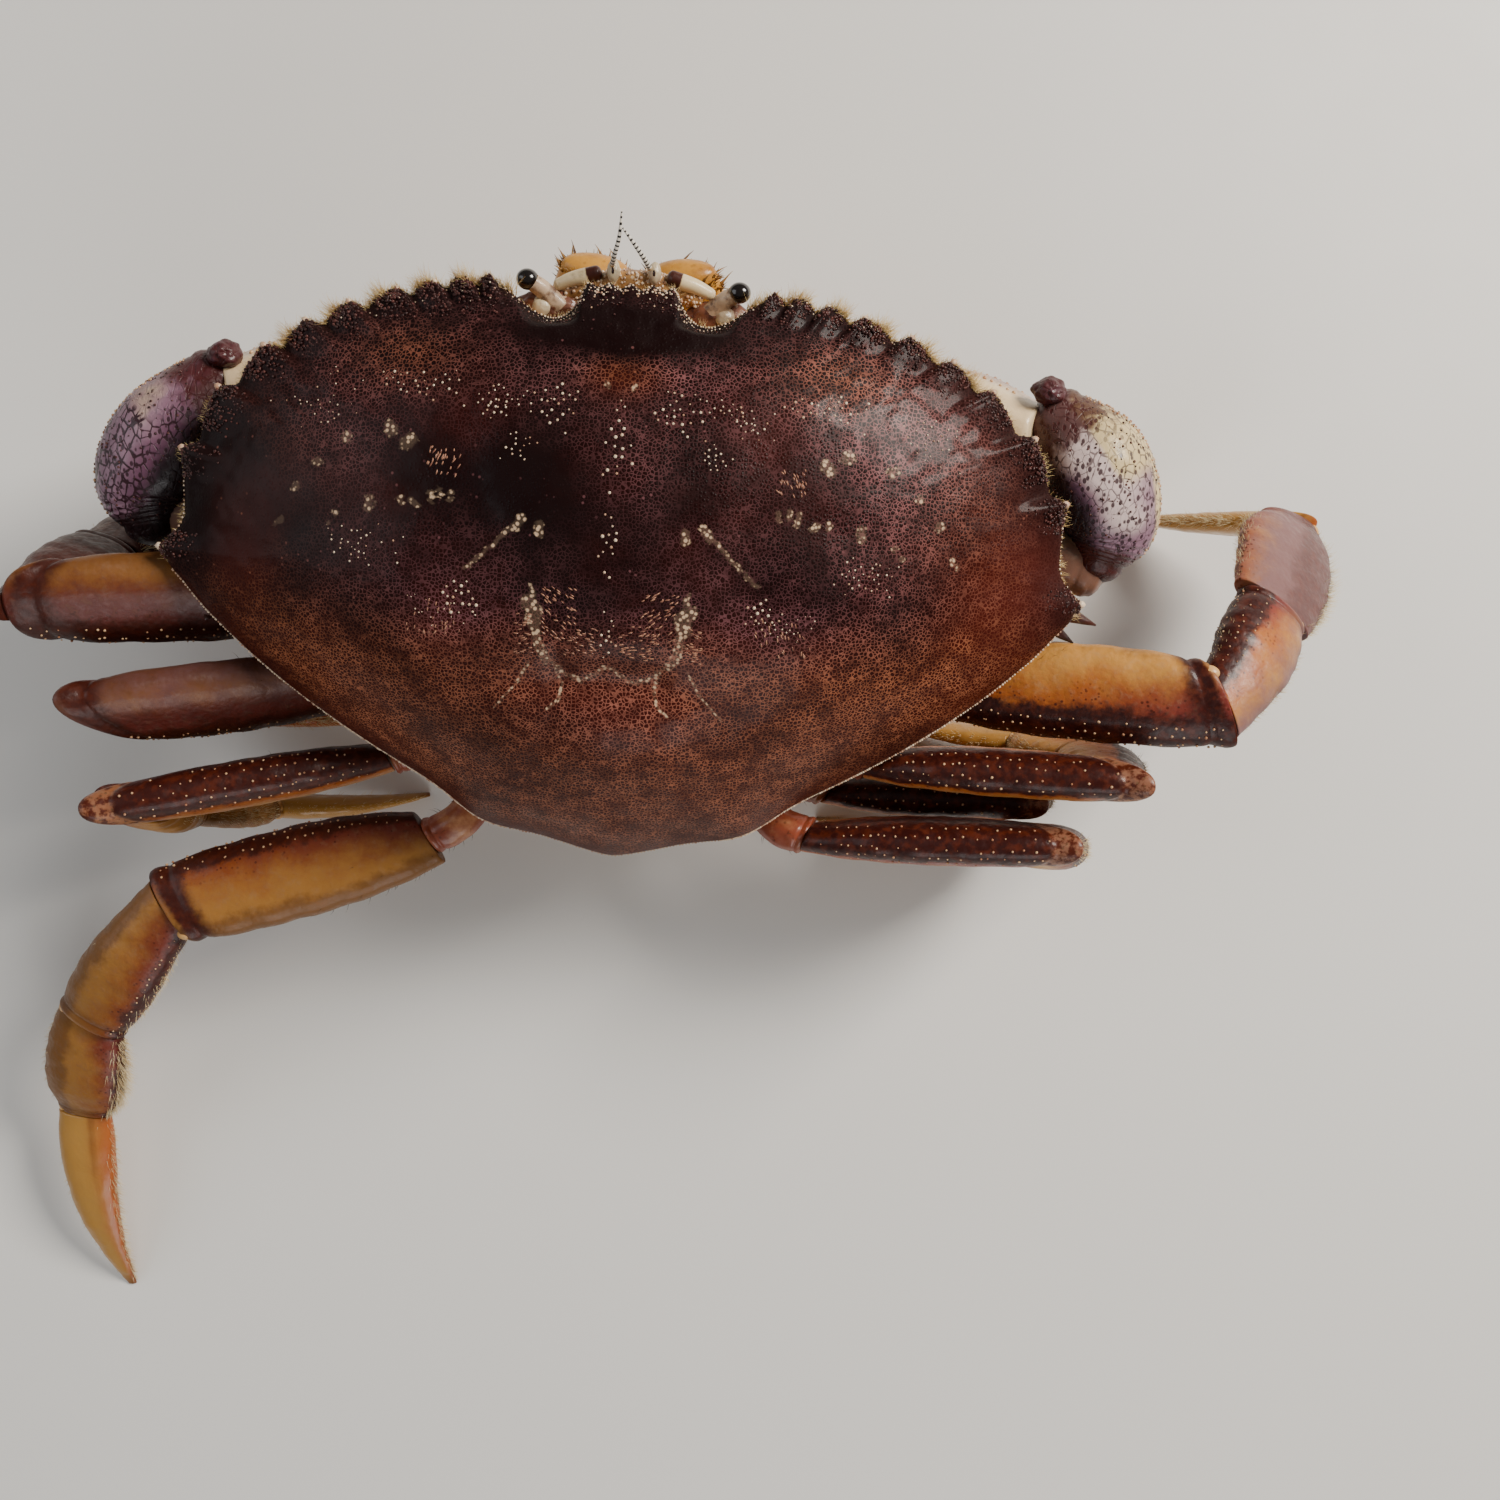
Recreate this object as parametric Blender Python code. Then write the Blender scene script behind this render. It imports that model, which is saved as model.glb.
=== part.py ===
"""A dungeness crab at life size, standing on its leg tips with both claws folded under its front.

Every shell piece is one closed solid. Places are first worked out in millimetres in the body's own
frame: the origin is midway between the two side spines, -Y points to the face, +X to the crab's left
and +Z out through the back. At the end the whole crab is pitched a little nose-up, set with its leg
tips on the floor, centred and scaled to metres.
"""
import math

import bmesh
import bpy
from mathutils import Matrix, Vector

# Driving sizes of the back shell, in millimetres
SIDE_REACH = 80.0
SIDE_SPINE = 5.0
FRONT_REACH = 50.5
FRONT_POWER = 2.3
REAR_SIDE_REACH = 84.0
REAR_REACH = 56.0
REAR_POWER = 1.35
REAR_CORNER_ANGLE = 153.0
REAR_CORNER_BULGE = 2.3
DOME_HEIGHT = 24.0
FRONT_RIM_HEIGHT = 7.2
REAR_RIM_DROP = 8.0
RIM_THICKNESS = 1.8
SHELL_FLOOR = -14.0
SHELL_FLOOR_REACH = 0.52
UNDER_EDGE_REACH = 0.985
TOOTH_ANGLES = (22.7, 29.1, 34.4, 40.3, 47.4, 53.8, 60.2, 68.1, 77.2, 90.0)
TOOTH_PROUD = 3.3
FRONT_TEETH_STEP = 2.1
ORBIT_ANGLES = (10.5, 20.5)
ORBIT_DEPTH = 6.0

# Stance
BODY_PITCH = math.radians(9.0)
BODY_HEIGHT = 64.0
JOINT_GAP = 0.3
MM = 0.001

# Half widths and half depths of the limb pieces
LEG_HALF_WIDTH = {"coxa": 5.2, "merus": 9.4, "carpus": 8.0, "propodus": 8.6, "dactyl": 6.2}
LEG_HALF_DEPTH = {"coxa": 5.8, "merus": 4.7, "carpus": 4.4, "propodus": 3.6, "dactyl": 2.6}
LEG_WIDTHS = {
    "coxa": (1.0, 0.86, 0.72, 0.70),
    "merus": (0.62, 0.86, 0.98, 1.0, 0.97, 0.84),
    "carpus": (0.80, 0.92, 1.06, 1.05, 0.92),
    "propodus": (0.86, 1.0, 1.06, 1.0, 0.66),
    "dactyl": (0.95, 1.0, 0.88, 0.68, 0.42, 0.16),
}
LEG_SIDES = {"coxa": 10, "merus": 12, "carpus": 12, "propodus": 12, "dactyl": 8}
LEG_RINGS = {"coxa": 3, "merus": 7, "carpus": 5, "propodus": 5, "dactyl": 7}
LEG_BOW = {"coxa": 0.0, "merus": 0.0, "carpus": 1.2, "propodus": 0.8, "dactyl": 3.0}

# Joint places of each walking leg: hip, knee, wrist, heel and tip, all in the body's frame, the tip
# without its height, which is the floor's. Then the way that the broad side looks on the merus, on
# the carpus and propodus, and on the dactyl.
LEGS = {
    "left_1": ((54, 9, -19), (107, 11.5, -1), (104, 4.5, -24), (93, -4, -46), (61, -12),
               (0.1, 0.4, 0.91), (0.2, 0.8, 0.2), (0.1, 0.95, -0.1)),
    "left_2": ((52, 26, -17), (95, 31.8, -1), (96, 36, -24), (86, 39, -44), (54, 41),
               (0.0, 0.66, 0.75), (0.1, 0.98, 0.12), (0.1, 0.98, 0.12)),
    "left_3": ((46, 41, -17), (91.5, 50.2, -4), (92, 57, -27), (77, 60, -44), (45, 58),
               (0.0, 0.95, 0.3), (0.1, 0.98, 0.15), (0.1, 0.98, 0.15)),
    "left_4": ((38, 57.8, -20), (89, 74.3, -15), (109, 103, -23), (114, 127.5, -30), (107.1, 173),
               (0.1, -0.25, 0.96), (0.2, 0.1, 0.97), (0.1, 0.1, 0.98)),
    "right_1": ((-57, 18, -15), (-112.5, 16.8, 0), (-125, 0.6, -16), (-134.2, -15, -40), (-104, -12.5),
                (0.0, 0.1, 0.99), (-0.38, -0.5, 0.75), (0.1, 1.0, 0.1)),
    "right_2": ((-50, 35.4, -14), (-93.5, 33, -2), (-95, 34, -25), (-85, 35, -45), (-52, 34),
                (0.0, 0.99, 0.14), (0.0, 1.0, 0.05), (0.0, 1.0, 0.05)),
    "right_3": ((-42, 43.8, -26), (-80, 43.6, -26), (-82.5, 45.6, -44), (-58, 46.5, -47), (-24, 46),
                (0.0, 0.99, 0.1), (0.0, 1.0, 0.02), (0.0, 1.0, 0.02)),
    "right_4": ((-38.6, 51.6, -15.8), (-83.5, 47.6, -6), (-87.5, 53.5, -28), (-74, 57.5, -45), (-42, 58),
                (0.0, 0.99, 0.14), (0.0, 0.99, 0.14), (0.0, 0.99, 0.14)),
}
CHEST_BASE_ANGLE = {"1": 86.0, "2": 104.0, "3": 122.0, "4": 143.0}
CLAW_BASE_ANGLE = 66.0
CHEST_BASE_HEIGHT = -22.5

# Joint places of a pincer leg on the crab's left, before the left one is shifted a little back; the
# right one is their mirror image
CLAW_HIP = (43, -17, -20)
CLAW_ELBOW = (89.5, -5, -14)
CLAW_WRIST = (78.5, -30, -14)
CLAW_TIP = (5, -38.0, -50)
LEFT_CLAW_SHIFT = (1.5, 2.0, 0.0)
CLAW_HAND_LENGTH = 82.0
CLAW_KNUCKLE = 45.0
HAND_RINGS = (7, 13, 20, 27, 34, 40, 44.9, 47.1, 53, 60, 67, 73, 78)

# Chest and face, in millimetres
CHEST_TOP_REACH = (40.0, 42.0)
CHEST_FLOOR_REACH = (20.0, 29.0)
CHEST_CENTRE = 3.0
CHEST_FLOOR = -31.0
MOUTH_TOP = (0.0, -49.4, -4.0)
MOUTH_FOOT = (0.0, -30.0, -28.0)

SWELLINGS = (
    (0.0, -16.0, 1.2, 20.0, 14.0),
    (0.0, 17.0, -2.6, 16.0, 5.0),
    (0.0, 30.0, 1.0, 12.0, 9.0),
    (38.0, 10.0, 1.4, 20.0, 17.0),
    (28.0, -34.0, 0.8, 10.0, 8.0),
    (24.0, 2.0, -0.8, 8.0, 12.0),
)

COLOURS = {
    "shell": (0.075, 0.022, 0.020, 0.38, 0.0),
    "chest": (0.72, 0.60, 0.42, 0.50, 0.0),
    "leg": (0.42, 0.15, 0.045, 0.42, 0.0),
    "claw": (0.30, 0.17, 0.20, 0.40, 0.0),
    "eye": (0.010, 0.009, 0.009, 0.10, 0.0),
    "feeler": (0.55, 0.42, 0.22, 0.50, 0.0),
}


def finish(kind):
    """The named material, made once."""
    name = kind + "_finish"
    material = bpy.data.materials.get(name)
    if material is None:
        red, green, blue, roughness, metallic = COLOURS[kind]
        material = bpy.data.materials.new(name)
        material.use_nodes = True
        shader = material.node_tree.nodes["Principled BSDF"]
        shader.inputs["Base Color"].default_value = (red, green, blue, 1.0)
        shader.inputs["Roughness"].default_value = roughness
        shader.inputs["Metallic"].default_value = metallic
    return material


def smooth(t):
    """Ease from 0 to 1."""
    t = min(max(t, 0.0), 1.0)
    return t * t * (3.0 - 2.0 * t)


def along(values, t):
    """Smooth curve through evenly spaced numbers or vectors."""
    spans = len(values) - 1
    index = min(int(t * spans), spans - 1)
    f = t * spans - index
    before = values[max(index - 1, 0)]
    start, end = values[index], values[index + 1]
    after = values[min(index + 2, spans)]
    pull_start = (end - before) * 0.5
    pull_end = (after - start) * 0.5
    return (start * (2 * f**3 - 3 * f**2 + 1) + pull_start * (f**3 - 2 * f**2 + f)
            + end * (3 * f**2 - 2 * f**3) + pull_end * (f**3 - f**2))


def mirrored(point):
    """The same place on the crab's right side."""
    return Vector((-point[0], point[1], point[2]))


def base_reach(angle):
    """Distance of the plain shell margin from the centre; 0 is straight ahead, in radians."""
    ahead = math.cos(angle)
    if ahead >= 0.0:
        power, side, front = FRONT_POWER, SIDE_REACH, FRONT_REACH
    else:
        power, side, front = REAR_POWER, REAR_SIDE_REACH, REAR_REACH
    sum_of_powers = (math.sin(angle) / side) ** power + (abs(ahead) / front) ** power
    corner = (math.degrees(angle) - REAR_CORNER_ANGLE) / 9.0
    return sum_of_powers ** (-1.0 / power) + REAR_CORNER_BULGE * math.exp(-corner * corner)


def rim_height(angle):
    """Height of the shell margin."""
    ahead = math.cos(angle)
    return ahead * (FRONT_RIM_HEIGHT if ahead > 0.0 else REAR_RIM_DROP)


def half_rim():
    """Angles round half the margin, each with how far the margin stands out there or is cut in."""
    rim = []
    for step in range(5):
        rim.append((step * FRONT_TEETH_STEP, 1.0 if step % 2 == 0 else -0.6))
    inner, outer = ORBIT_ANGLES
    for step in range(1, 5):
        f = step / 5.0
        rim.append((inner + (outer - inner) * f, -ORBIT_DEPTH * math.sin(math.pi * f) ** 0.6))
    rim.append((TOOTH_ANGLES[0], 0.3))
    for last, angle in zip(TOOTH_ANGLES, TOOTH_ANGLES[1:]):
        gap = angle - last
        side = angle == TOOTH_ANGLES[-1]
        proud = SIDE_SPINE if side else TOOTH_PROUD * smooth(0.25 + angle / 70.0)
        rim.append((last + 0.45 * gap, 0.45 * TOOTH_PROUD))
        rim.append((last + 0.84 * gap, -1.4 if side else 0.3))
        rim.append((angle, proud))
    first_rear = 93.0
    rear_steps = 13
    for step in range(rear_steps + 1):
        rim.append((first_rear + (180.0 - first_rear) * step / rear_steps, 0.0))
    return [(math.radians(angle), proud) for angle, proud in rim]


RIM = half_rim()
RIM_COUNT = 2 * (len(RIM) - 1)


def rim_entry(index):
    """Signed side, angle and stand-out of one of the margin's stations, counted right round."""
    index %= RIM_COUNT
    if index < len(RIM):
        return 1.0, *RIM[index]
    return -1.0, *RIM[RIM_COUNT - index]


def dome_height(x, y, r, rim):
    """Height of the back at a fraction r of the way out to the margin."""
    z = rim * r * r + DOME_HEIGHT * max(1.0 - r**2.2, 0.0) ** 0.9
    fade = 1.0 - r**6
    for centre_x, centre_y, rise, spread_x, spread_y in SWELLINGS:
        bump = math.exp(-((abs(x) - centre_x) / spread_x) ** 2 - ((y - centre_y) / spread_y) ** 2)
        z += rise * bump * fade
    return z


def under_height(x, y, r, rim):
    """Height of the shell's underside, which falls from the margin to the flat over the chest."""
    f = (UNDER_EDGE_REACH - r) / (UNDER_EDGE_REACH - SHELL_FLOOR_REACH)
    f = min(max(f, 0.0), 1.0)
    mouth = math.exp(-(x / 22.0) ** 2) if y < 0.0 else 0.0
    edge = rim - RIM_THICKNESS
    return edge + (SHELL_FLOOR - edge) * f ** (1.2 - 0.55 * mouth)


def new_object(name, bm, kind):
    """Object of a finished bmesh, shaded smooth but for sharp edges."""
    mesh = bpy.data.meshes.new(name)
    bmesh.ops.recalc_face_normals(bm, faces=bm.faces)
    if bm.calc_volume(signed=True) < 0.0:
        bmesh.ops.reverse_faces(bm, faces=bm.faces)
    bm.to_mesh(mesh)
    bm.free()
    piece = bpy.data.objects.new(name, mesh)
    piece.data.materials.append(finish(kind))
    mesh.shade_smooth()
    mesh.set_sharp_from_angle(angle=math.radians(50.0))
    bpy.data.collections["dungeness_crab"].objects.link(piece)
    return piece


def rod(sides, rings):
    """Upright unit cylinder with closed ends and a number of even rings, or rings at given heights."""
    cuts = [ring / rings for ring in range(1, rings)] if isinstance(rings, int) else rings
    bm = bmesh.new()
    bmesh.ops.create_cone(bm, cap_ends=True, segments=sides, radius1=1.0, radius2=1.0, depth=1.0,
                          matrix=Matrix.Translation((0.0, 0.0, 0.5)))
    for cut in cuts:
        everything = bm.verts[:] + bm.edges[:] + bm.faces[:]
        bmesh.ops.bisect_plane(bm, geom=everything, plane_co=(0.0, 0.0, cut),
                               plane_no=(0.0, 0.0, 1.0))
    return bm


def rounded(value, power):
    """Fuller than a circle's cosine or sine, for a section with soft corners."""
    return math.copysign(abs(value) ** (2.0 / power), value)


def sweep(bm, path, widths, depths, face, start_plane=None, end_plane=None, power=2.3):
    """Bend a rod along a path. face is the direction that its broad side looks in; a joint plane
    at an end is the direction that the flat end looks along the path in."""
    path = [Vector(point) for point in path]
    face = Vector(face)
    for vert in bm.verts:
        t = min(max(vert.co.z, 0.0), 1.0)
        centre = along(path, t)
        tangent = (along(path, min(t + 0.01, 1.0)) - along(path, max(t - 0.01, 0.0))).normalized()
        deep = (face - tangent * face.dot(tangent)).normalized()
        wide = deep.cross(tangent)
        spot = centre + wide * (along(widths, t) * rounded(vert.co.x, power))
        spot += deep * (along(depths, t) * rounded(vert.co.y, power))
        plane = start_plane if t < 0.5 else end_plane
        if plane:
            normal = Vector(plane).lerp(tangent, 1.0 - abs(2.0 * t - 1.0)).normalized()
            spot -= tangent * ((spot - centre).dot(normal) / tangent.dot(normal))
        vert.co = spot
    return bm


def scaled(values, size):
    """All of a profile's fractions times one size."""
    return [value * size for value in values]


def back_shell():
    """Domed back with its row of teeth, eye notches and the flat underside over the chest."""
    top_rings = (0.17, 0.34, 0.51, 0.66, 0.79, 0.89, 0.96)
    under_rings = (UNDER_EDGE_REACH, 0.88, 0.70, SHELL_FLOOR_REACH)
    rings = [(r, True) for r in top_rings] + [(1.0, True)] + [(r, False) for r in under_rings]
    bm = bmesh.new()
    bmesh.ops.create_uvsphere(bm, u_segments=RIM_COUNT, v_segments=len(rings) + 1, radius=1.0)
    for vert in bm.verts:
        level = round(math.acos(max(min(vert.co.z, 1.0), -1.0)) / math.pi * (len(rings) + 1))
        if level == 0:
            vert.co = (0.0, 0.0, dome_height(0.0, 0.0, 0.0, 0.0))
            continue
        if level == len(rings) + 1:
            vert.co = (0.0, 0.0, SHELL_FLOOR)
            continue
        index = round(math.atan2(vert.co.y, vert.co.x) / (2.0 * math.pi) * RIM_COUNT)
        side, angle, proud = rim_entry(index)
        r, on_top = rings[level - 1]
        fade = smooth((r - 0.6) / 0.4) * r if proud < -2.0 else smooth((r - 0.84) / 0.16)
        reach = base_reach(angle) * r + proud * fade
        x, y = side * reach * math.sin(angle), -reach * math.cos(angle)
        height = dome_height if on_top else under_height
        vert.co = (x, y, height(x, y, r, rim_height(angle)))
    return new_object("carapace", bm, "shell")


def chest_point(side, angle, t):
    """Place on the chest's wall: t is 0 at its flat top and 1 at its flat bottom."""
    bulge = t ** 1.6
    reach_x = CHEST_TOP_REACH[0] + (CHEST_FLOOR_REACH[0] - CHEST_TOP_REACH[0]) * bulge
    reach_y = CHEST_TOP_REACH[1] + (CHEST_FLOOR_REACH[1] - CHEST_TOP_REACH[1]) * bulge
    top = SHELL_FLOOR - JOINT_GAP
    x = side * reach_x * math.sin(angle)
    y = CHEST_CENTRE - reach_y * math.cos(angle)
    return Vector((x, y, top + (CHEST_FLOOR - top) * t))


def chest():
    """Underbody that carries the legs."""
    bm = rod(36, 6)
    for vert in bm.verts:
        angle = math.atan2(vert.co.x, -vert.co.y)
        side = 1.0 if angle >= 0.0 else -1.0
        vert.co = chest_point(side, abs(angle), 1.0 - vert.co.z)
    return new_object("thorax", bm, "chest")


def chest_base(side, degrees):
    """Place and outward direction of a leg's root on the chest's wall."""
    t = (SHELL_FLOOR - JOINT_GAP - CHEST_BASE_HEIGHT) / (SHELL_FLOOR - JOINT_GAP - CHEST_FLOOR)
    angle = math.radians(degrees)
    spot = chest_point(side, angle, t)
    round_wall = chest_point(side, angle + 0.02, t) - chest_point(side, angle - 0.02, t)
    down_wall = chest_point(side, angle, t + 0.02) - chest_point(side, angle, t - 0.02)
    outward = round_wall.cross(down_wall).normalized()
    if outward.dot(spot - Vector((0.0, CHEST_CENTRE, spot.z))) < 0.0:
        outward = -outward
    return spot, outward


def tail_flap():
    """Narrow tail folded forward under the chest."""
    under = CHEST_FLOOR - JOINT_GAP - 1.9
    path = ((0, 49.0, -16), (0, 45.5, -24), (0, 39.5, -31.5), (0, 24.0, under), (0, 8.0, under),
            (0, -8.0, under))
    bm = sweep(rod(12, 9), path, (12.5, 12.0, 11.0, 10.0, 7.5, 3.0), (1.4, 1.4, 1.4, 1.5, 1.5, 1.0),
               (0.0, 0.5, -1.0))
    return new_object("abdomen", bm, "chest")


def floor_height(y):
    """Height of the floor under a place, in the body's frame."""
    return -BODY_HEIGHT + math.tan(BODY_PITCH) * y


def bisector(before, joint, after):
    """Direction that the joint plane between two pieces looks in."""
    return ((joint - before).normalized() + (after - joint).normalized()).normalized()


def limb_piece(name, kind, start, end, planes, face, size, bow=(0.0, 0.0, 0.0)):
    """One piece of a limb between two joint planes. size is its profile, widths and counts."""
    profile, half_width, half_depth, sides, rings = size
    first, last = planes
    start = start + first * (JOINT_GAP * 0.5)
    end = end - last * (JOINT_GAP * 0.5)
    run = end - start
    path = [start + run * (step / 4.0) + Vector(bow) * math.sin(math.pi * step / 4.0)
            for step in range(5)]
    if name.endswith("_coxa"):
        start += first * (JOINT_GAP * 0.6)
        path = (start, start + first * (run.length * 0.3), end - last * (run.length * 0.3), end)
    bm = sweep(rod(sides, rings), path, scaled(profile, half_width), scaled(profile, half_depth),
               face, first, last)
    return new_object(name, bm, kind)


def walking_leg(key, spec):
    """Five pieces from the chest out to the pointed tip."""
    side = 1.0 if key.startswith("left") else -1.0
    hip, knee, wrist, heel = (Vector(place) for place in spec[:4])
    tip = Vector((*spec[4], floor_height(spec[4][1])))
    faces = {"coxa": (0.0, 0.3, 1.0), "merus": spec[5], "carpus": spec[6], "propodus": spec[6],
             "dactyl": spec[7]}
    base, outward = chest_base(side, CHEST_BASE_ANGLE[key[-1]])
    joints = [base, hip, knee, wrist, heel, tip]
    planes = [outward]
    for before, joint, after in zip(joints, joints[1:], joints[2:]):
        planes.append(bisector(before, joint, after))
    planes.append((tip - heel).normalized())
    names = ("coxa", "merus", "carpus", "propodus", "dactyl")
    for index, part in enumerate(names):
        run = joints[index + 1] - joints[index]
        outside = (knee - base).normalized() * 0.6 + Vector((0.0, 0.0, 0.8))
        bow = (outside - run.normalized() * outside.dot(run.normalized())) * LEG_BOW[part]
        size = (LEG_WIDTHS[part], LEG_HALF_WIDTH[part], LEG_HALF_DEPTH[part], LEG_SIDES[part],
                LEG_RINGS[part])
        limb_piece("leg_" + key + "_" + part, "leg", joints[index], joints[index + 1],
                   (planes[index], planes[index + 1]), faces[part], size, bow)


def hand_edges(s):
    """Upper and lower edge of palm and fixed finger, s millimetres out from the wrist."""
    palm_end = CLAW_KNUCKLE
    if s < palm_end:
        f = s / palm_end
        top = 8.5 + 7.0 * math.sin(min(f * 1.25, 1.0) * math.pi / 2.0)
        bottom = -8.5 - 7.0 * math.sin(f * math.pi / 2.0)
        return top, bottom
    f = (s - palm_end) / (CLAW_HAND_LENGTH - palm_end)
    bottom = -15.5 + 5.5 * f**1.5
    shoulder = smooth((s - palm_end) / 2.0)
    top = 15.5 + (-3.5 - 15.5) * shoulder - 4.2 * f
    return top, bottom


def finger_edges(s):
    """Upper and lower edge of the moving finger."""
    f = (s - CLAW_KNUCKLE - 2.6) / (CLAW_HAND_LENGTH + 1.5 - CLAW_KNUCKLE - 2.6)
    top = 14.6 - 21.0 * f**1.35
    bottom = -2.7 - 4.6 * f
    return top, bottom


def edge_loft(bm, frame, reach, edges, half_depth, bulge):
    """Fill a rod out between an upper and a lower edge line. frame is origin, along, up, out."""
    origin, forward, up, outward = frame
    first, last = reach
    for vert in bm.verts:
        t = min(max(vert.co.z, 0.0), 1.0)
        s = first + (last - first) * t
        top, bottom = edges(s)
        middle, half = (top + bottom) * 0.5, (top - bottom) * 0.5
        depth = half_depth * along(bulge, t)
        spot = origin + forward * s + up * (middle + half * rounded(vert.co.y, 2.3))
        vert.co = spot + outward * (depth * rounded(vert.co.x, 2.2))
    return bm


def pincer(side_name):
    """Upper arm, wrist, palm with fixed finger, and moving finger of one claw."""
    side = 1.0 if side_name == "left" else -1.0
    place = Vector if side > 0.0 else mirrored
    shift = Vector(LEFT_CLAW_SHIFT) if side > 0.0 else Vector()
    hip, tip = place(CLAW_HIP), place(CLAW_TIP)
    elbow, wrist = place(CLAW_ELBOW) + shift, place(CLAW_WRIST) + shift
    base, outward = chest_base(side, CLAW_BASE_ANGLE)
    joints = [base, hip, elbow, wrist, tip]
    planes = [outward]
    for before, joint, after in zip(joints, joints[1:], joints[2:]):
        planes.append(bisector(before, joint, after))
    stem = "claw_" + side_name
    limb_piece(stem + "_coxa", "claw", base, hip, planes[0:2], (0.0, 0.0, 1.0),
               ((1.0, 0.95, 0.9, 0.9), 7.0, 6.6, 10, 3))
    limb_piece(stem + "_merus", "claw", hip, elbow, planes[1:3], (0.0, 0.2, 1.0),
               ((0.80, 0.95, 1.0, 0.84, 0.46), 8.0, 6.8, 12, 6))
    wrist_bow = (5.0 * side, -1.0, 0.0)
    limb_piece(stem + "_carpus", "claw", elbow, wrist, planes[2:4], (0.0, 0.0, 1.0),
               ((0.40, 0.70, 1.02, 1.0, 0.58), 10.2, 11.0, 16, 8), wrist_bow)
    forward = (tip - wrist).normalized()
    outward = Vector((0.0, -1.0, 0.0))
    outward = (outward - forward * outward.dot(forward)).normalized()
    up = forward.cross(outward) * -side
    start = 2.0
    frame = (wrist, forward, up, outward)
    cuts = [(s - start) / (CLAW_HAND_LENGTH - start) for s in HAND_RINGS]
    bm = edge_loft(rod(14, cuts), frame, (start, CLAW_HAND_LENGTH), hand_edges, 9.0,
                   (0.6, 1.0, 1.04, 0.9, 0.62, 0.48, 0.2))
    cut_square(bm, wrist + planes[3] * (JOINT_GAP * 0.5), planes[3])
    new_object(stem + "_palm", bm, "claw")
    bm = edge_loft(rod(12, 8), frame, (CLAW_KNUCKLE + 2.6, CLAW_HAND_LENGTH + 1.5), finger_edges,
                   6.6, (1.0, 0.92, 0.7, 0.3))
    new_object(stem + "_finger", bm, "claw")


def cut_square(bm, place, normal):
    """Trim a closed piece flat behind a joint plane."""
    everything = bm.verts[:] + bm.edges[:] + bm.faces[:]
    cut = bmesh.ops.bisect_plane(bm, geom=everything, plane_co=place, plane_no=normal,
                                 clear_inner=True)
    edges = [item for item in cut["geom_cut"] if isinstance(item, bmesh.types.BMEdge)]
    bmesh.ops.contextual_create(bm, geom=edges)


def eye(side_name):
    """Stalk with a black ball at its end, in the notch of the margin."""
    place = Vector if side_name == "left" else mirrored
    path = [place(p) for p in ((11.0, -47.2, 1.8), (13.2, -49.2, 2.2), (15.4, -50.4, 2.7),
                               (17.0, -50.9, 3.0), (18.2, -51.2, 3.2))]
    round_end = (1.5, 1.9, 2.5, 2.4, 1.0)
    bm = sweep(rod(10, 7), path, round_end, round_end, (0.0, 0.0, 1.0))
    new_object("eye_" + side_name, bm, "eye")


def antenna(side_name):
    """Stout root piece running out into a thin feeler."""
    place = Vector if side_name == "left" else mirrored
    path = [place(p) for p in ((9.5, -52.0, 0.0), (8.0, -54.0, -0.2), (6.0, -56.0, 0.8),
                               (4.2, -57.8, 3.4), (2.6, -59.4, 6.6), (1.3, -60.6, 10.2))]
    thick = (1.9, 2.0, 1.1, 0.5, 0.36, 0.25)
    bm = sweep(rod(8, 11), path, thick, thick, (0.0, 0.0, 1.0))
    new_object("antenna_" + side_name, bm, "feeler")


def mouth_plate(side_name):
    """Outer jaw plate, lying on the slope between the front margin and the chest."""
    side = 1.0 if side_name == "left" else -1.0
    top, foot = Vector(MOUTH_TOP), Vector(MOUTH_FOOT)
    down = (foot - top).normalized()
    outward = Vector((0.0, down.z, -down.y))
    path = []
    for t, x, lift in ((0.0, 9.8, 4.6), (0.33, 9.6, 4.2), (0.66, 9.0, 3.4), (1.0, 8.2, 3.0)):
        spot = top.lerp(foot, t) + outward * lift
        path.append(Vector((side * x, spot.y, spot.z)))
    bm = sweep(rod(12, 7), path, (6.0, 8.4, 8.2, 6.0), (3.2, 3.7, 3.0, 2.2), outward)
    new_object("maxilliped_" + side_name, bm, "feeler")


def set_on_floor():
    """Pitch the body, press the leg tips flat on the floor, centre the crab and scale it to metres."""
    pieces = bpy.data.collections["dungeness_crab"].objects
    pitch = Matrix.Rotation(-BODY_PITCH, 4, "X")
    lift = BODY_HEIGHT * math.cos(BODY_PITCH)
    corners_x, corners_y = [], []
    for piece in pieces:
        for vert in piece.data.vertices:
            spot = pitch @ vert.co
            spot.z += lift
            if piece.name.endswith("_dactyl"):
                spot.z = max(spot.z, 0.0)
            vert.co = spot
            corners_x.append(spot.x)
            corners_y.append(spot.y)
    middle = Vector(((min(corners_x) + max(corners_x)) * 0.5, (min(corners_y) + max(corners_y)) * 0.5, 0.0))
    for piece in pieces:
        for vert in piece.data.vertices:
            vert.co = (vert.co - middle) * MM


def main():
    """Build every piece."""
    for item in list(bpy.data.objects):
        bpy.data.objects.remove(item)
    collection = bpy.data.collections.new("dungeness_crab")
    bpy.context.scene.collection.children.link(collection)
    back_shell()
    chest()
    tail_flap()
    for side_name in ("left", "right"):
        eye(side_name)
        antenna(side_name)
        mouth_plate(side_name)
        pincer(side_name)
    for key, spec in LEGS.items():
        walking_leg(key, spec)
    set_on_floor()


main()
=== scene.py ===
"""Looks of a still, life-size dungeness crab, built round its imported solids.

Shapes are worked out in millimetres in the crab's own frame: the origin is midway between the two side
spines, -Y points to the face, +X to the crab's left and +Z out through the back. Stance turns them into
the frame's metres.
"""

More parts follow.
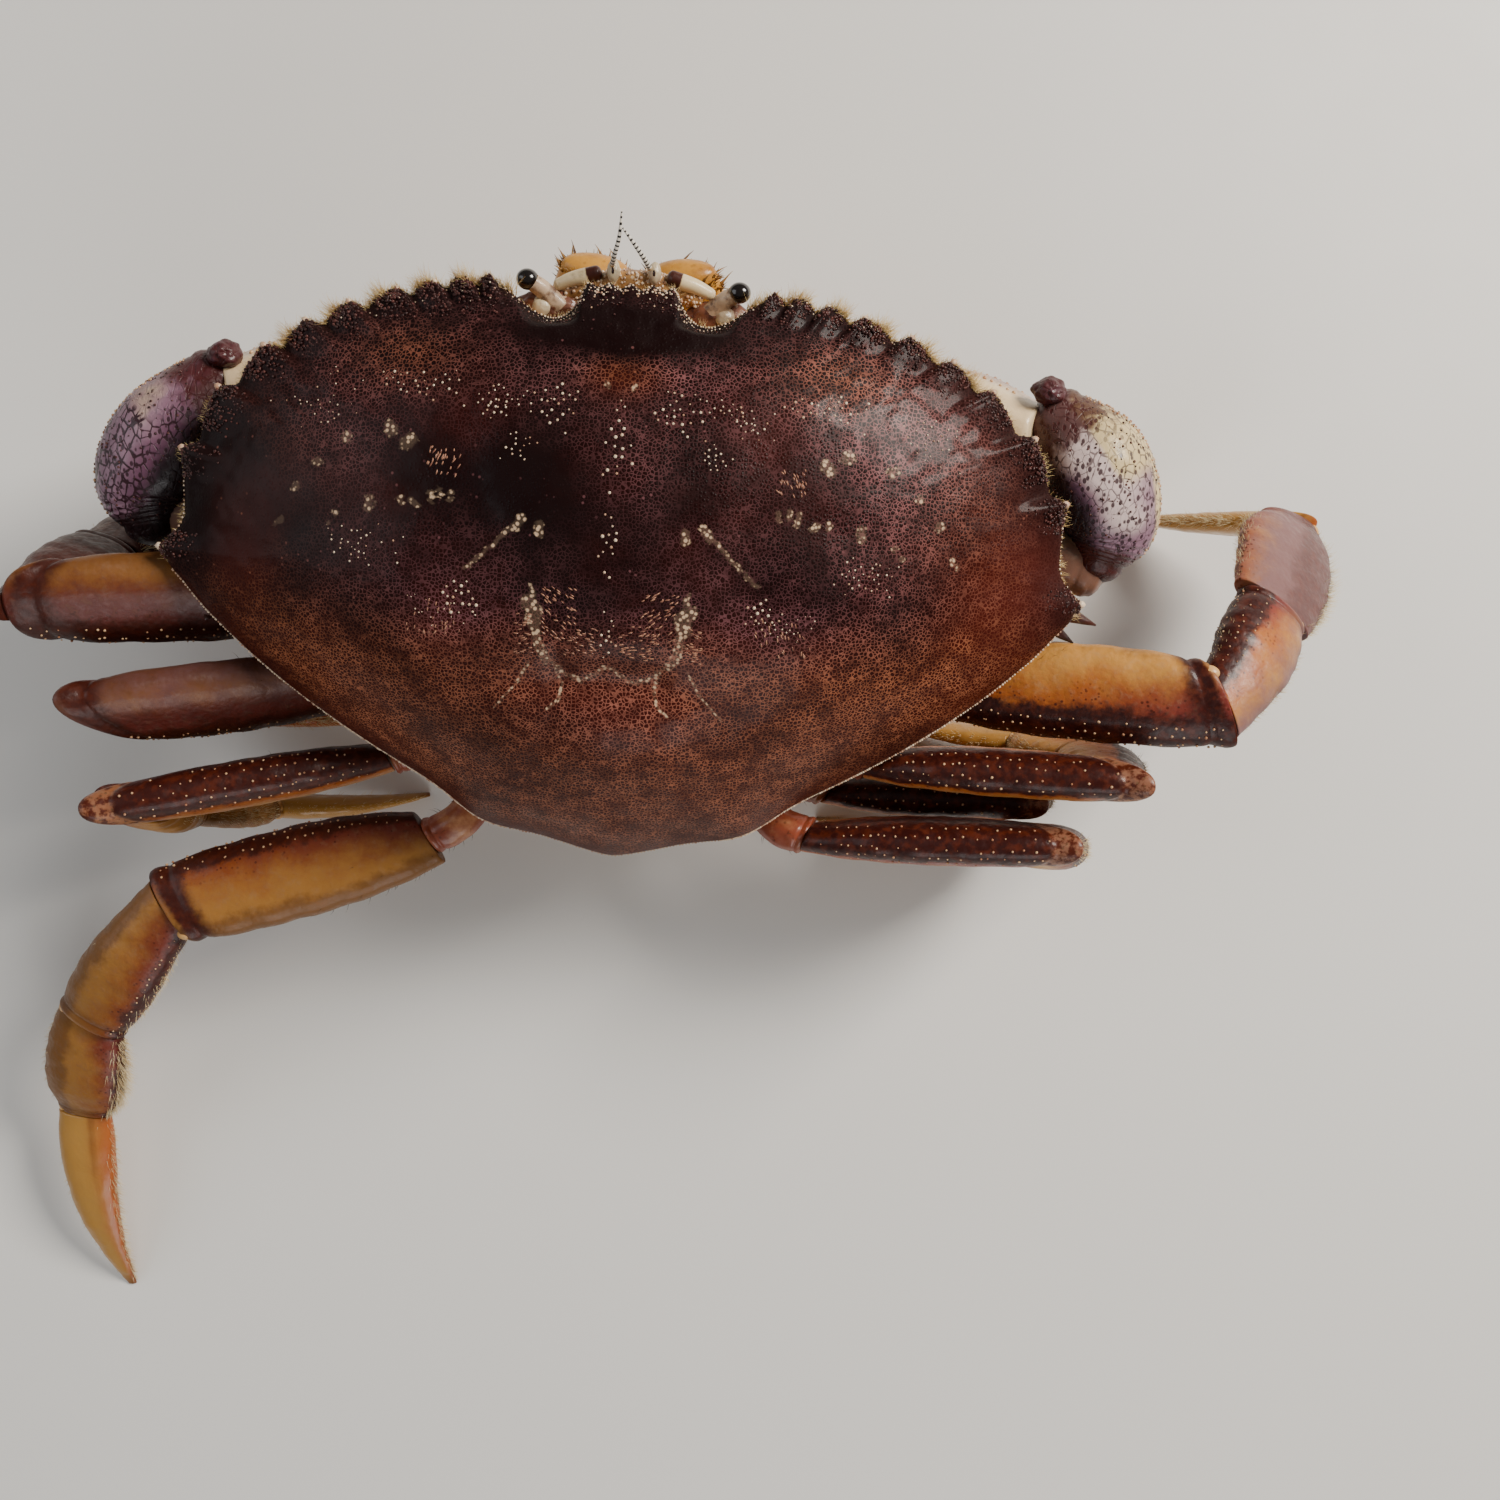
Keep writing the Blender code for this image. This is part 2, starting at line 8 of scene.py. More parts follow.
import logging
import math
from dataclasses import dataclass, field
from enum import Enum

import bmesh
import bpy
import numpy as np
from mathutils import Matrix, Vector


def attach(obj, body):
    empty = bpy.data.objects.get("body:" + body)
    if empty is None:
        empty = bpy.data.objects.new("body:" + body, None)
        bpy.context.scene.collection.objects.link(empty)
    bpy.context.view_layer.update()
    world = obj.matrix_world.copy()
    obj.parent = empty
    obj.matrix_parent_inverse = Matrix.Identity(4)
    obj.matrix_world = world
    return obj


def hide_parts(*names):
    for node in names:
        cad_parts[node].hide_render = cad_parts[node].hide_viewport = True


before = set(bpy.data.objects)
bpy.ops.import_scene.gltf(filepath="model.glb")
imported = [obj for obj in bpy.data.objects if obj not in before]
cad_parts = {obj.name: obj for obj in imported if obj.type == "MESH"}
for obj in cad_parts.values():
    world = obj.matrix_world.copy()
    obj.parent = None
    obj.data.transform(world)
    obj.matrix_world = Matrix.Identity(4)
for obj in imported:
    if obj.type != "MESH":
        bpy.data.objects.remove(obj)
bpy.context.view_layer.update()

Array = np.ndarray
Material = bpy.types.Material
LOG = logging.getLogger("crab")
MM = 0.001
GAP = 0.3
UP = (0.0, 0.0, 1.0)
FLAT = (1.0, 1.0, 0.0)


class Slot(Enum):
    """Material slots of the record."""

    SHELL = "shell"
    UNDERSIDE = "underside"
    LEG = "leg"
    TIP = "tip"
    CLAW = "claw"
    MOUTHPARTS = "mouthparts"
    EYE = "eye"


def tint(red: int, green: int, blue: int) -> tuple:
    """Linear colour of a screen colour given from 0 to 255."""
    def linear(value: float) -> float:
        value /= 255.0
        return value / 12.92 if value <= 0.04045 else ((value + 0.055) / 1.055) ** 2.4
    return (linear(red), linear(green), linear(blue), 1.0)


def ease(t: Array) -> Array:
    """Ease from 0 to 1."""
    t = np.clip(t, 0.0, 1.0)
    return t * t * (3.0 - 2.0 * t)


def unit(vectors: Array) -> Array:
    """Vectors scaled to length 1."""
    return vectors / np.maximum(np.linalg.norm(vectors, axis=-1, keepdims=True), 1e-12)


def curve(values: list, t: Array) -> Array:
    """Smooth curve through evenly spaced numbers or points.

    Args:
        values: numbers or points that the curve passes through.
        t: how far along, from 0 to 1.

    Returns:
        One number or point for each t.
    """
    values = np.asarray(values, dtype=float)
    spans = len(values) - 1
    index = np.clip((t * spans).astype(int), 0, spans - 1)
    f = t * spans - index
    if values.ndim > 1:
        f = f[..., None]
    start, end = values[index], values[index + 1]
    pull_start = (end - values[np.maximum(index - 1, 0)]) * 0.5
    pull_end = (values[np.minimum(index + 2, spans)] - start) * 0.5
    return (start * (2 * f**3 - 3 * f**2 + 1) + pull_start * (f**3 - 2 * f**2 + f)
            + end * (3 * f**2 - 2 * f**3) + pull_end * (f**3 - f**2))


def rounded(value: Array, power: float) -> Array:
    """Fuller than a circle's cosine or sine, for a section with soft corners."""
    return np.copysign(np.abs(value) ** (2.0 / power), value)


def ripple(points: Array, size: float, octaves: int = 3) -> Array:
    """Soft random height at each point, from about -1 to 1, with lumps of the given size."""
    height, share = np.zeros(len(points)), 1.0
    for octave in range(octaves):
        spots = points * (2.0**octave / size) + 57.3 * octave
        cell = np.floor(spots).astype(np.int64)
        f = spots - cell
        f = f * f * (3.0 - 2.0 * f)
        for corner in range(8):
            near = np.array((corner & 1, corner >> 1 & 1, corner >> 2 & 1))
            code = ((cell + near) @ np.array((374761393, 668265263, 1274126177))) & 0x7FFFFFFF
            code = ((code ^ (code >> 13)) * 1274126177) & 0x7FFFFFFF
            value = ((code ^ (code >> 16)) & 0xFFFF) / 32767.5 - 1.0
            height += share * value * np.where(near, f, 1.0 - f).prod(axis=-1)
        share *= 0.5
    return height


def line_distance(x: Array, y: Array, points: tuple) -> Array:
    """Distance of each place from a line drawn through points."""
    nearest = np.full(x.shape, 1e9)
    for (x0, y0), (x1, y1) in zip(points, points[1:]):
        run_x, run_y = x1 - x0, y1 - y0
        f = np.clip(((x - x0) * run_x + (y - y0) * run_y) / (run_x**2 + run_y**2), 0.0, 1.0)
        nearest = np.minimum(nearest, np.hypot(x - x0 - f * run_x, y - y0 - f * run_y))
    return nearest


@dataclass(frozen=True)
class Stance:
    """How the crab's own millimetres are pitched, lifted and centred in the frame."""

    middle: tuple
    pitch: float = math.radians(-9.0)
    height: float = 64.0

    @classmethod
    def from_frame(cls, spine_reach: float) -> "Stance":
        """Find the middle from the tip of the left side spine.

        Args:
            spine_reach: the tip's distance from the crab's middle plane, in millimetres.

        Returns:
            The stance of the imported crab.
        """
        tip = max((v.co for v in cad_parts["carapace"].data.vertices), key=lambda co: co.x)
        return cls(middle=(spine_reach - tip.x / MM, -tip.y / MM))

    def place(self, points: Array) -> Array:
        """The crab's millimetres as the frame's metres."""
        points = self.turn(np.asarray(points, dtype=float))
        points = points + np.array((-self.middle[0], -self.middle[1], self.height * math.cos(self.pitch)))
        return points * MM

    def turn(self, vectors: Array) -> Array:
        """Directions in the crab's own frame as directions in the frame."""
        c, s = math.cos(self.pitch), math.sin(self.pitch)
        return vectors @ np.array(((1, 0, 0), (0, c, -s), (0, s, c)), dtype=float).T

    def floor(self, y: float) -> float:
        """Height of the floor under a place, in the crab's own frame."""
        return -self.height - math.tan(self.pitch) * y


SPINE_REACH = 85.0
STANCE = Stance.from_frame(SPINE_REACH)


@dataclass(frozen=True)
class Value:
    """Number or colour worked out by a finish's nodes, so that recipes read as plain arithmetic."""

    recipe: "Recipe"
    socket: bpy.types.NodeSocket

    def __add__(self, other: "Value | float") -> "Value":
        """Sum."""
        return self.recipe.sum("ADD", self, other)

    def __sub__(self, other: "Value | float") -> "Value":
        """Difference."""
        return self.recipe.sum("SUBTRACT", self, other)

    def __mul__(self, other: "Value | float") -> "Value":
        """Product."""
        return self.recipe.sum("MULTIPLY", self, other)


@dataclass
class Recipe:
    """Node tree of one finish."""

    name: str
    material: Material = field(init=False)

    def __post_init__(self) -> None:
        """Start from a new principled material."""
        self.material = bpy.data.materials.new(self.name)
        self.material.use_nodes = True
        self.tree = self.material.node_tree
        self.shader = self.tree.nodes["Principled BSDF"]
        self.spot = self.value("ShaderNodeTexCoord", {}, "Object")

    def value(self, kind: str, inputs: dict, output: str | int = 0, **settings: str) -> Value:
        """Output of a new node.

        Args:
            kind: the node's type.
            inputs: what each input is fed, by its name or number.
            output: name or number of the output.
            settings: the node's own settings.

        Returns:
            The output, for further steps.
        """
        node = self.tree.nodes.new(kind)
        for key, setting in settings.items():
            setattr(node, key, setting)
        self.feed(node, inputs)
        return Value(self, node.outputs[output])

    def feed(self, node: bpy.types.Node, inputs: dict) -> None:
        """Link a node's inputs to values, or set plain numbers on them."""
        for key, value in inputs.items():
            if isinstance(value, Value):
                self.tree.links.new(value.socket, node.inputs[key])
            else:
                node.inputs[key].default_value = value

    def reading(self, name: str) -> Value:
        """A number kept on the mesh."""
        return self.value("ShaderNodeAttribute", {}, "Fac", attribute_name=name)

    def sum(self, operation: str, *values: Value | float) -> Value:
        """One step of arithmetic."""
        return self.value("ShaderNodeMath", dict(enumerate(values)), operation=operation)

    def step(self, value: Value, low: float, high: float, bottom: float = 0.0, top: float = 1.0) -> Value:
        """Smooth step of a value from bottom to top between low and high."""
        numbers = dict(enumerate((value, low, high, bottom, top)))
        return self.value("ShaderNodeMapRange", numbers, interpolation_type="SMOOTHSTEP")

    def grain(self, scale: float, detail: float = 3.0, roughness: float = 0.5) -> Value:
        """Soft noise with lumps about one over scale metres wide."""
        inputs = {"Vector": self.spot, "Scale": scale, "Detail": detail, "Roughness": roughness}
        return self.value("ShaderNodeTexNoise", inputs)

    def cells(self, scale: float, feature: str = "F1", random: float = 1.0,
              stretch: tuple = (1.0, 1.0, 1.0)) -> Value:
        """Distance within a pattern of cells about one over scale metres wide, drawn out if asked."""
        spot = self.value("ShaderNodeMapping", {"Vector": self.spot, "Scale": stretch})
        inputs = {"Vector": spot, "Scale": scale, "Randomness": random}
        return self.value("ShaderNodeTexVoronoi", inputs, "Distance", feature=feature)

    def mix(self, amount: Value | float, first: Value | tuple, second: Value | tuple) -> Value:
        """Blend of two colours."""
        return self.value("ShaderNodeMix", {0: amount, 6: first, 7: second}, 2, data_type="RGBA")

    def coat(self, colour: Value | tuple, roughness: Value, wet: float = 0.0, light: float = 0.0,
             glance: float = 0.3) -> None:
        """Set the surface.

        Args:
            colour: base colour.
            roughness: how dull it is.
            wet: weight of the wet coat.
            light: how much light passes a little way in.
            glance: strength of the plain reflection.
        """
        self.feed(self.shader, {
            "Base Color": colour, "Specular IOR Level": glance, "Roughness": roughness,
            "Coat Weight": wet, "Coat Roughness": 0.16, "Subsurface Weight": light,
            "Subsurface Radius": (0.004, 0.002, 0.001), "Subsurface Scale": 0.5})

    def bump(self, height: Value, distance: float) -> None:
        """Raise the surface by a pattern, by so many metres."""
        inputs = {"Strength": 1.0, "Distance": distance, "Height": height}
        self.feed(self.shader, {"Normal": self.value("ShaderNodeBump", inputs)})


@dataclass(frozen=True)
class BackFinish:
    """Back shell: dark cells in a pale network, cream marks, a plain pale underside."""

    black: tuple = tint(20, 5, 5)
    red_brown: tuple = tint(66, 18, 10)
    lilac: tuple = tint(126, 80, 84)
    tan: tuple = tint(148, 88, 60)
    cream: tuple = tint(206, 176, 144)
    under: tuple = tint(214, 176, 122)
    under_dark: tuple = tint(160, 98, 52)

    def make(self) -> Material:
        """The material."""
        r = Recipe("back_shell")
        drift = r.grain(55.0, 4.0, 0.6)
        fine = r.grain(900.0, 2.0)
        cell = r.mix(r.step(r.reading("red") + drift * 0.9 - 0.45, 0.0, 1.0), self.black, self.red_brown)
        line = r.mix(r.reading("tan"), self.lilac, self.tan)
        edge = r.cells(1480.0, "DISTANCE_TO_EDGE", 0.85)
        net = r.step(fine * 0.10 + edge, 0.08, 0.20, 1.0, 0.0)
        blotch = r.step(r.grain(240.0, 5.0, 0.65), 0.36, 0.62, 0.35, 1.1)
        patch = r.reading("net") * (blotch * r.step(drift, 0.3, 0.6, 0.6, 1.1))
        colour = r.mix(net * patch, cell, line)
        fleck = r.step(r.cells(620.0), 0.10, 0.20, 0.5, 0.0)
        colour = r.mix(fleck * r.step(r.grain(160.0, 2.0), 0.52, 0.66), colour, line)
        dots = r.step(r.cells(1150.0, "F1", 0.9), 0.26, 0.50, 1.0, 0.0)
        mark = (r.grain(900.0, 3.0) - 0.5) * 1.2 + r.reading("pale")
        mark = r.step(mark, 0.28, 0.78) * (dots * 0.80 + 0.08)
        colour = r.mix(mark, colour, self.cream)
        below = r.mix(r.step(r.grain(240.0, 4.0), 0.42, 0.66), self.under, self.under_dark)
        colour = r.mix(r.step(drift * 0.3 + r.reading("below"), 0.35, 0.75), colour, below)
        rough = r.reading("rough")
        dull = rough * 0.2 + r.step(r.grain(130.0, 3.0), 0.3, 0.7, 0.36, 0.58)
        r.coat(colour, dull, 0.07, 0.0, 0.09)
        bead = r.step(r.cells(1480.0, "F1", 0.85), 0.05, 0.5, 1.0, 0.0)
        lumps = r.grain(420.0, 4.0, 0.6) * 7.0 * rough
        r.bump(lumps + fine * 0.5 + bead, 0.00005)
        return r.material


@dataclass(frozen=True)
class LimbFinish:
    """Leg shell: a dark grained band along one edge, an amber to rosy face, a darker far end, painted shade
    and a partly painted lilac sheen.
    """

    yellow: tuple = tint(212, 152, 74)
    amber: tuple = tint(180, 92, 32)
    rose: tuple = tint(132, 54, 48)
    maroon: tuple = tint(46, 11, 9)
    brown: tuple = tint(84, 32, 16)
    pale: tuple = tint(202, 168, 124)
    lilac: tuple = tint(134, 98, 96)
    # Deep brown of the painted shade that darkens whole pieces.
    deep_tone_and_painted_shade: tuple = tint(62, 24, 14)

    def make(self) -> Material:
        """The material."""
        r = Recipe("leg_shell")
        drift = r.grain(170.0, 5.0, 0.62)
        fine = r.grain(700.0, 3.0, 0.6)
        jitter = (fine * 0.35 + drift) * 0.9 - 0.6
        side = jitter * 0.8 + r.reading("side")
        along = r.reading("along")
        face = r.mix(r.step(drift * 0.7 + side, -0.5, 0.6), self.yellow, self.amber)
        rosy = r.step(side * 0.55 + r.reading("rosy"), 0.25, 0.95)
        face = r.mix(rosy, face, self.rose)
        face = r.mix(r.step(fine, 0.5, 0.75) * 0.22, face, self.pale)
        # Lilac band along the edge away from the dark one: the legs' own lilac, and on the second left leg
        # partly a painted highlight.
        sheen = r.reading("lilac") + jitter - side * 0.5
        sheen = r.step(sheen, 0.5, 1.1) * r.step(r.reading("lilac"), 0.0, 0.2)
        face = r.mix(sheen, face, self.lilac)
        dark = r.mix(r.step(r.grain(620.0, 4.0), 0.42, 0.68), self.maroon, self.brown)
        speck = r.step(r.cells(880.0), 0.16, 0.30, 1.0, 0.0)
        near = r.step(drift * 0.5 + side, -0.1, 0.45, 0.0, 1.0)
        face = r.mix(speck * near, face, self.brown)
        colour = r.mix(r.step(side, 0.06, 0.30), face, dark)
        colour = r.mix(r.step(side, -0.80, -1.10, 0.0, 0.5), colour, dark)
        far = jitter * 0.09 + along
        ring = r.step(far, 0.84, 0.90) * r.step(far, 0.95, 0.985, 1.0, 0.25)
        # All-over darkening towards maroon, partly painted shade, kept off the painted sheen.
        maroon_and_painted_shade = r.step(r.reading("maroon_and_painted_shade") + jitter, 0.2, 0.8)
        maroon_and_painted_shade = maroon_and_painted_shade - sheen * 0.9
        colour = r.mix(r.sum("MAXIMUM", ring * r.reading("ring"), maroon_and_painted_shade), colour, dark)
        collar = r.step(far, 0.885, 0.915) * r.reading("collar")
        end = r.mix(r.step(r.grain(520.0, 5.0, 0.65), 0.43, 0.58), r.mix(0.3, face, self.pale), self.brown)
        colour = r.mix(collar, colour, end)
        # Painted shade: the whole piece drawn towards deep brown, strongly on the left legs and only a
        # little deeper in tone on the right.
        colour = r.mix(r.reading("deep_tone_and_painted_shade"), colour, self.deep_tone_and_painted_shade)
        r.coat(colour, r.step(fine, 0.3, 0.7, 0.34, 0.54), 0.12, 0.05, 0.22)
        r.bump(fine - r.cells(900.0) * 0.5, 0.00012)
        return r.material


@dataclass(frozen=True)
class TipFinish:
    """Last piece of a leg: yellow horn with a brown groove and a brown point."""

    horn: tuple = tint(172, 126, 60)
    amber: tuple = tint(158, 84, 36)
    brown: tuple = tint(112, 66, 28)

    def make(self) -> Material:
        """The material."""
        r = Recipe("leg_tip")
        drift = r.grain(190.0, 4.0)
        side = drift * 0.5 + r.reading("side")
        colour = r.mix(r.step(side, 0.2, 1.2), self.horn, self.amber)
        colour = r.mix(r.step(drift * 0.5 + r.reading("groove"), 0.6, 1.3, 0.0, 0.6), colour, self.brown)
        colour = r.mix(r.step(r.reading("along"), 0.86, 1.0, 0.0, 0.85), colour, self.brown)
        r.coat(colour, r.step(r.grain(500.0), 0.3, 0.7, 0.28, 0.45), 0.3, 0.10)
        r.bump(r.grain(800.0, 4.0), 0.00010)
        return r.material


@dataclass(frozen=True)
class WristFinish:
    """Claw wrist: pale lilac cells parted by a dark purple network, deepened towards near black partly as
    painted shade.
    """

    violet: tuple = tint(96, 60, 80)
    lilac: tuple = tint(132, 100, 116)
    white: tuple = tint(204, 182, 178)
    purple: tuple = tint(44, 16, 26)
    black_and_painted_shade: tuple = tint(24, 8, 13)
    straw: tuple = tint(208, 184, 128)
    rust: tuple = tint(66, 20, 18)

    def make(self) -> Material:
        """The material."""
        r = Recipe("claw_wrist")
        drift = r.grain(120.0, 4.0)
        fine = r.grain(800.0, 3.0)
        outer = drift * 0.6 - 0.3 + r.reading("outer")
        pale = r.mix(r.step(outer, -0.60, -0.05), self.violet, self.lilac)
        pale = r.mix(r.step(r.reading("white") + drift, 0.70, 1.25), pale, self.white)
        straw = drift * 0.5 + r.reading("straw")
        pale = r.mix(r.step(straw, 0.55, 0.95, 0.0, 0.85), pale, self.straw)
        slim = (1.25, 0.8, 1.25)
        edge = fine * 0.16 + r.cells(520.0, "DISTANCE_TO_EDGE", 1.0, slim)
        wide = r.grain(260.0, 3.0) * 0.34 - 0.12
        wide = wide * r.reading("web")
        net = r.step(edge - wide, 0.05, 0.13, 1.0, 0.0)
        net = net * r.step(r.reading("web"), 0.0, 1.0, 0.45, 1.0)
        spot = r.step(r.cells(740.0, "F1", 1.0, slim), 0.26, 0.40, 1.0, 0.0)
        net = r.sum("MAXIMUM", net, spot * 0.9)
        bare = r.step(drift * 0.7 + r.reading("bare"), 0.75, 1.15, 1.0, 0.12)
        colour = r.mix(net * bare, pale, self.purple)
        # Near black over the dark inner side and the elbow end, with painted shade underneath and over most
        # of the left claw.
        deep_tone_and_painted_shade = drift * 0.35 + r.reading("black_and_painted_shade")
        colour = r.mix(r.step(deep_tone_and_painted_shade, 0.45, 0.8, 0.0, 0.96), colour, self.black_and_painted_shade)
        rust = r.grain(420.0, 4.0) * 0.9 + r.reading("rust")
        colour = r.mix(r.step(rust, 0.75, 1.15, 0.0, 0.92), colour, self.rust)
        r.coat(colour, r.step(fine, 0.3, 0.7, 0.34, 0.55), 0.15)
        r.bump(fine - net * 0.6, 0.00014)
        return r.material


@dataclass(frozen=True)
class HandFinish:
    """Claw hand and fingers: cream below, purple brown network above, white finger ends."""

    cream: tuple = tint(226, 200, 160)
    white: tuple = tint(240, 232, 216)
    purple: tuple = tint(92, 44, 50)
    lilac: tuple = tint(170, 134, 136)

    def make(self) -> Material:
        """The material."""
        r = Recipe("claw_hand")
        drift = r.grain(130.0, 4.0)
        fine = r.grain(800.0, 3.0)
        edge = fine * 0.10 + r.cells(640.0, "DISTANCE_TO_EDGE", 0.9)
        net = r.step(edge, 0.06, 0.22, 1.0, 0.0)
        top = r.mix(net, self.lilac, self.purple)
        height = drift * 0.8 + r.reading("upper")
        colour = r.mix(r.step(height, 0.35, 1.15), self.cream, top)
        colour = r.mix(r.step(drift * 0.3 + r.reading("bare"), 0.4, 0.8), colour, self.white)
        r.coat(colour, r.step(fine, 0.3, 0.7, 0.27, 0.45), 0.3)
        r.bump(fine - r.cells(700.0) * 0.5, 0.00012)
        return r.material


@dataclass(frozen=True)
class PlainShellFinish:
    """Plain shell of two colours that drift into each other, with fine specks."""

    name: str
    first: tuple
    second: tuple
    speck: tuple
    specks: float = 0.3
    scale: float = 160.0
    gloss: float = 0.3

    def make(self) -> Material:
        """The material."""
        r = Recipe(self.name)
        drift = r.grain(self.scale, 5.0, 0.6)
        fine = r.grain(800.0, 3.0)
        toned = r.reading("tone") * 0.8 + drift
        colour = r.mix(r.step(toned, 0.4, 0.75), self.first, self.second)
        speck = r.step(r.cells(520.0), 0.10, 0.22, 1.0, 0.0)
        colour = r.mix(speck * self.specks, colour, self.speck)
        r.coat(colour, r.step(fine, 0.3, 0.7, self.gloss, self.gloss + 0.2), 0.25, 0.05)
        r.bump(fine, 0.00010)
        return r.material


@dataclass(frozen=True)
class BallFinish:
    """Black eye with a faint brown web of facets."""

    black: tuple = tint(10, 9, 9)
    brown: tuple = tint(44, 30, 26)

    def make(self) -> Material:
        """The material."""
        r = Recipe("eye_ball")
        web = r.step(r.cells(6000.0, "DISTANCE_TO_EDGE"), 0.02, 0.12, 1.0, 0.0)
        r.coat(r.mix(web * 0.5, self.black, self.brown), r.step(web, 0.0, 1.0, 0.08, 0.2), 0.8)
        return r.material


@dataclass(frozen=True)
class BandedFinish:
    """Feeler ringed in black and white."""

    dark: tuple = tint(26, 20, 20)
    light: tuple = tint(222, 214, 200)
    root: tuple = tint(196, 164, 118)
    rings: float = 13.0

    def make(self) -> Material:
        """The material."""
        r = Recipe("feeler_rings")
        along = r.reading("along")
        turn = r.sum("SINE", along * (self.rings * 2.0 * math.pi))
        colour = r.mix(r.step(turn, -0.45, -0.15), self.dark, self.light)
        colour = r.mix(r.step(along, 0.04, 0.10, 1.0, 0.0), colour, self.root)
        r.coat(colour, r.step(r.grain(900.0), 0.3, 0.7, 0.35, 0.55), 0.2)
        r.bump(r.grain(1500.0), 0.00005)
        return r.material


@dataclass(frozen=True)
class Look:
    """Broad colours of a leg.

    Args:
        dark_side: the edge that is dark, 1 or -1, for the first piece.
        outer_side: the same for the pieces beyond it.
        rosy: how rosy the face is from root to end.
        lilac: how lilac each of the three middle pieces is along the edge away from the dark band; on the
            second left leg partly a painted highlight.
        maroon_and_painted_shade: how far each of them is drawn towards maroon all over, partly as painted
            shade.
        narrow: how much narrower than usual the dark band of each of them is.
        lean: how far the dark band gives way to the pale face on the side that looks up.
        collar: how pale the far end of the second piece is.
        deep_tone_and_painted_shade: how much deeper every colour is, a little deeper tone on the right legs
            and painted shade on the left.
        fringe: where the longer fringe stands, in degrees from the dark edge.
        broad: how many times wider than usual the fourth piece is.
    """

    dark_side: float
    outer_side: float
    rosy: tuple
    lilac: tuple = (0.0, 0.0, 0.0)
    maroon_and_painted_shade: tuple = (0.0, 0.0, 0.0)
    narrow: tuple = (0.0, 0.0, 0.0)
    lean: float = 0.0
    collar: float = 0.0
    deep_tone_and_painted_shade: float = 0.0
    fringe: float = 0.0
    broad: float = 1.0


def ball_grid(sides: int, levels: int) -> tuple:
    """Sphere of quads whose rings can be set anywhere.

    Args:
        sides: points round each ring.
        levels: steps from pole to pole.

    Returns:
        The bmesh, and each vertex's level and turn as arrays.
    """
    bm = bmesh.new()
    bmesh.ops.create_uvsphere(bm, u_segments=sides, v_segments=levels, radius=1.0)
    spots = np.array([vert.co for vert in bm.verts], dtype=float)
    level = np.rint(np.arccos(np.clip(spots[:, 2], -1.0, 1.0)) / math.pi * levels).astype(int)
    return bm, level, np.arctan2(spots[:, 1], spots[:, 0])


def ring_grid(sides: int, rings: Array) -> tuple:
    """Closed bmesh of rings, and each vertex's turn and the numbers of its ring."""
    bm, level, turn = ball_grid(sides, len(rings) - 1)
    return bm, turn, *np.array(rings)[level].T


def ball_form(sides: int, levels: int) -> tuple:
    """Round bmesh, and its vertices' places on a ball of radius 1."""
    bm, level, turn = ball_grid(sides, levels)
    polar = level / levels * math.pi
    flat = np.sin(polar)
    return bm, np.stack((flat * np.cos(turn), flat * np.sin(turn), np.cos(polar)), axis=-1)


def spaced(points: Array, gap: float) -> list:
    """Which points to keep so that no two of them stand closer than the gap."""
    kept = []
    for index, point in enumerate(points):
        if all(math.dist(point, points[other]) >= gap for other in kept):
            kept.append(index)
    return kept


def new_piece(name: str, mesh: bpy.types.Mesh, material: Material,
              nodes: tuple = ()) -> bpy.types.Object:
    """Object of a finished mesh that rides on the crab and stands for its nodes."""
    mesh.materials.append(material)
    mesh.shade_smooth()
    piece = bpy.data.objects.new(name, mesh)
    bpy.context.scene.collection.objects.link(piece)
    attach(piece, "root")
    if nodes:
        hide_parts(*nodes)
    LOG.info("%s: %d faces", name, len(mesh.polygons))
    return piece


def closed_piece(name: str, bm: bmesh.types.BMesh, points: Array, material: Material,
                 nodes: tuple = (), masks: dict | None = None) -> bpy.types.Object:
    """Set a bmesh's vertices to places in the crab's own frame and make it a piece.

    Args:
        name: the piece's name.
        bm: closed bmesh, which is used up.
        points: new place of each vertex, in millimetres.
        material: its finish.
        nodes: solids that it stands for.
        masks: numbers kept on each vertex for the finish to read.

    Returns:
        The new object.
    """
    spots = STANCE.place(points)
    spots[:, 2] = np.maximum(spots[:, 2], 0.0)
    for vert, spot in zip(bm.verts, spots):
        vert.co = spot
    bmesh.ops.recalc_face_normals(bm, faces=bm.faces)
    if bm.calc_volume(signed=True) < 0.0:
        bmesh.ops.reverse_faces(bm, faces=bm.faces)
    mesh = bpy.data.meshes.new(name)
    bm.to_mesh(mesh)
    bm.free()
    for key, values in (masks or {}).items():
        layer = mesh.attributes.new(key, "FLOAT", "POINT")
        layer.data.foreach_set("value", np.broadcast_to(values, len(mesh.vertices)).astype(np.float32))
    return new_piece(name, mesh, material, nodes)


def taken(bm: bmesh.types.BMesh) -> tuple:
    """Vertices and faces of a bmesh, which is used up."""
    bm.verts.index_update()
    form = (np.array([v.co for v in bm.verts]), [[v.index for v in f.verts] for f in bm.faces])
    bm.free()
    return form


def round_form(fineness: int = 1) -> tuple:
    """Round grain, or a finer round knob."""
    bm = bmesh.new()
    bmesh.ops.create_icosphere(bm, subdivisions=fineness, radius=1.0)
    return taken(bm)


def spike_form(sides: int = 4, bends: int = 2) -> tuple:
    """Thin cone from Z 0 to 1."""
    bm = bmesh.new()
    bmesh.ops.create_cone(bm, cap_ends=True, segments=sides, radius1=1.0, radius2=0.08, depth=1.0,
                          matrix=Matrix.Translation((0.0, 0.0, 0.5)))
    for bend in range(1, bends):
        bmesh.ops.bisect_plane(bm, geom=bm.verts[:] + bm.edges[:] + bm.faces[:],
                               plane_co=(0.0, 0.0, bend / bends), plane_no=UP)
    return taken(bm)


def sized(long, wide, high) -> Array:
    """Half length, half width and height of each copy."""
    return np.stack(np.broadcast_arrays(long, wide, high), axis=-1)


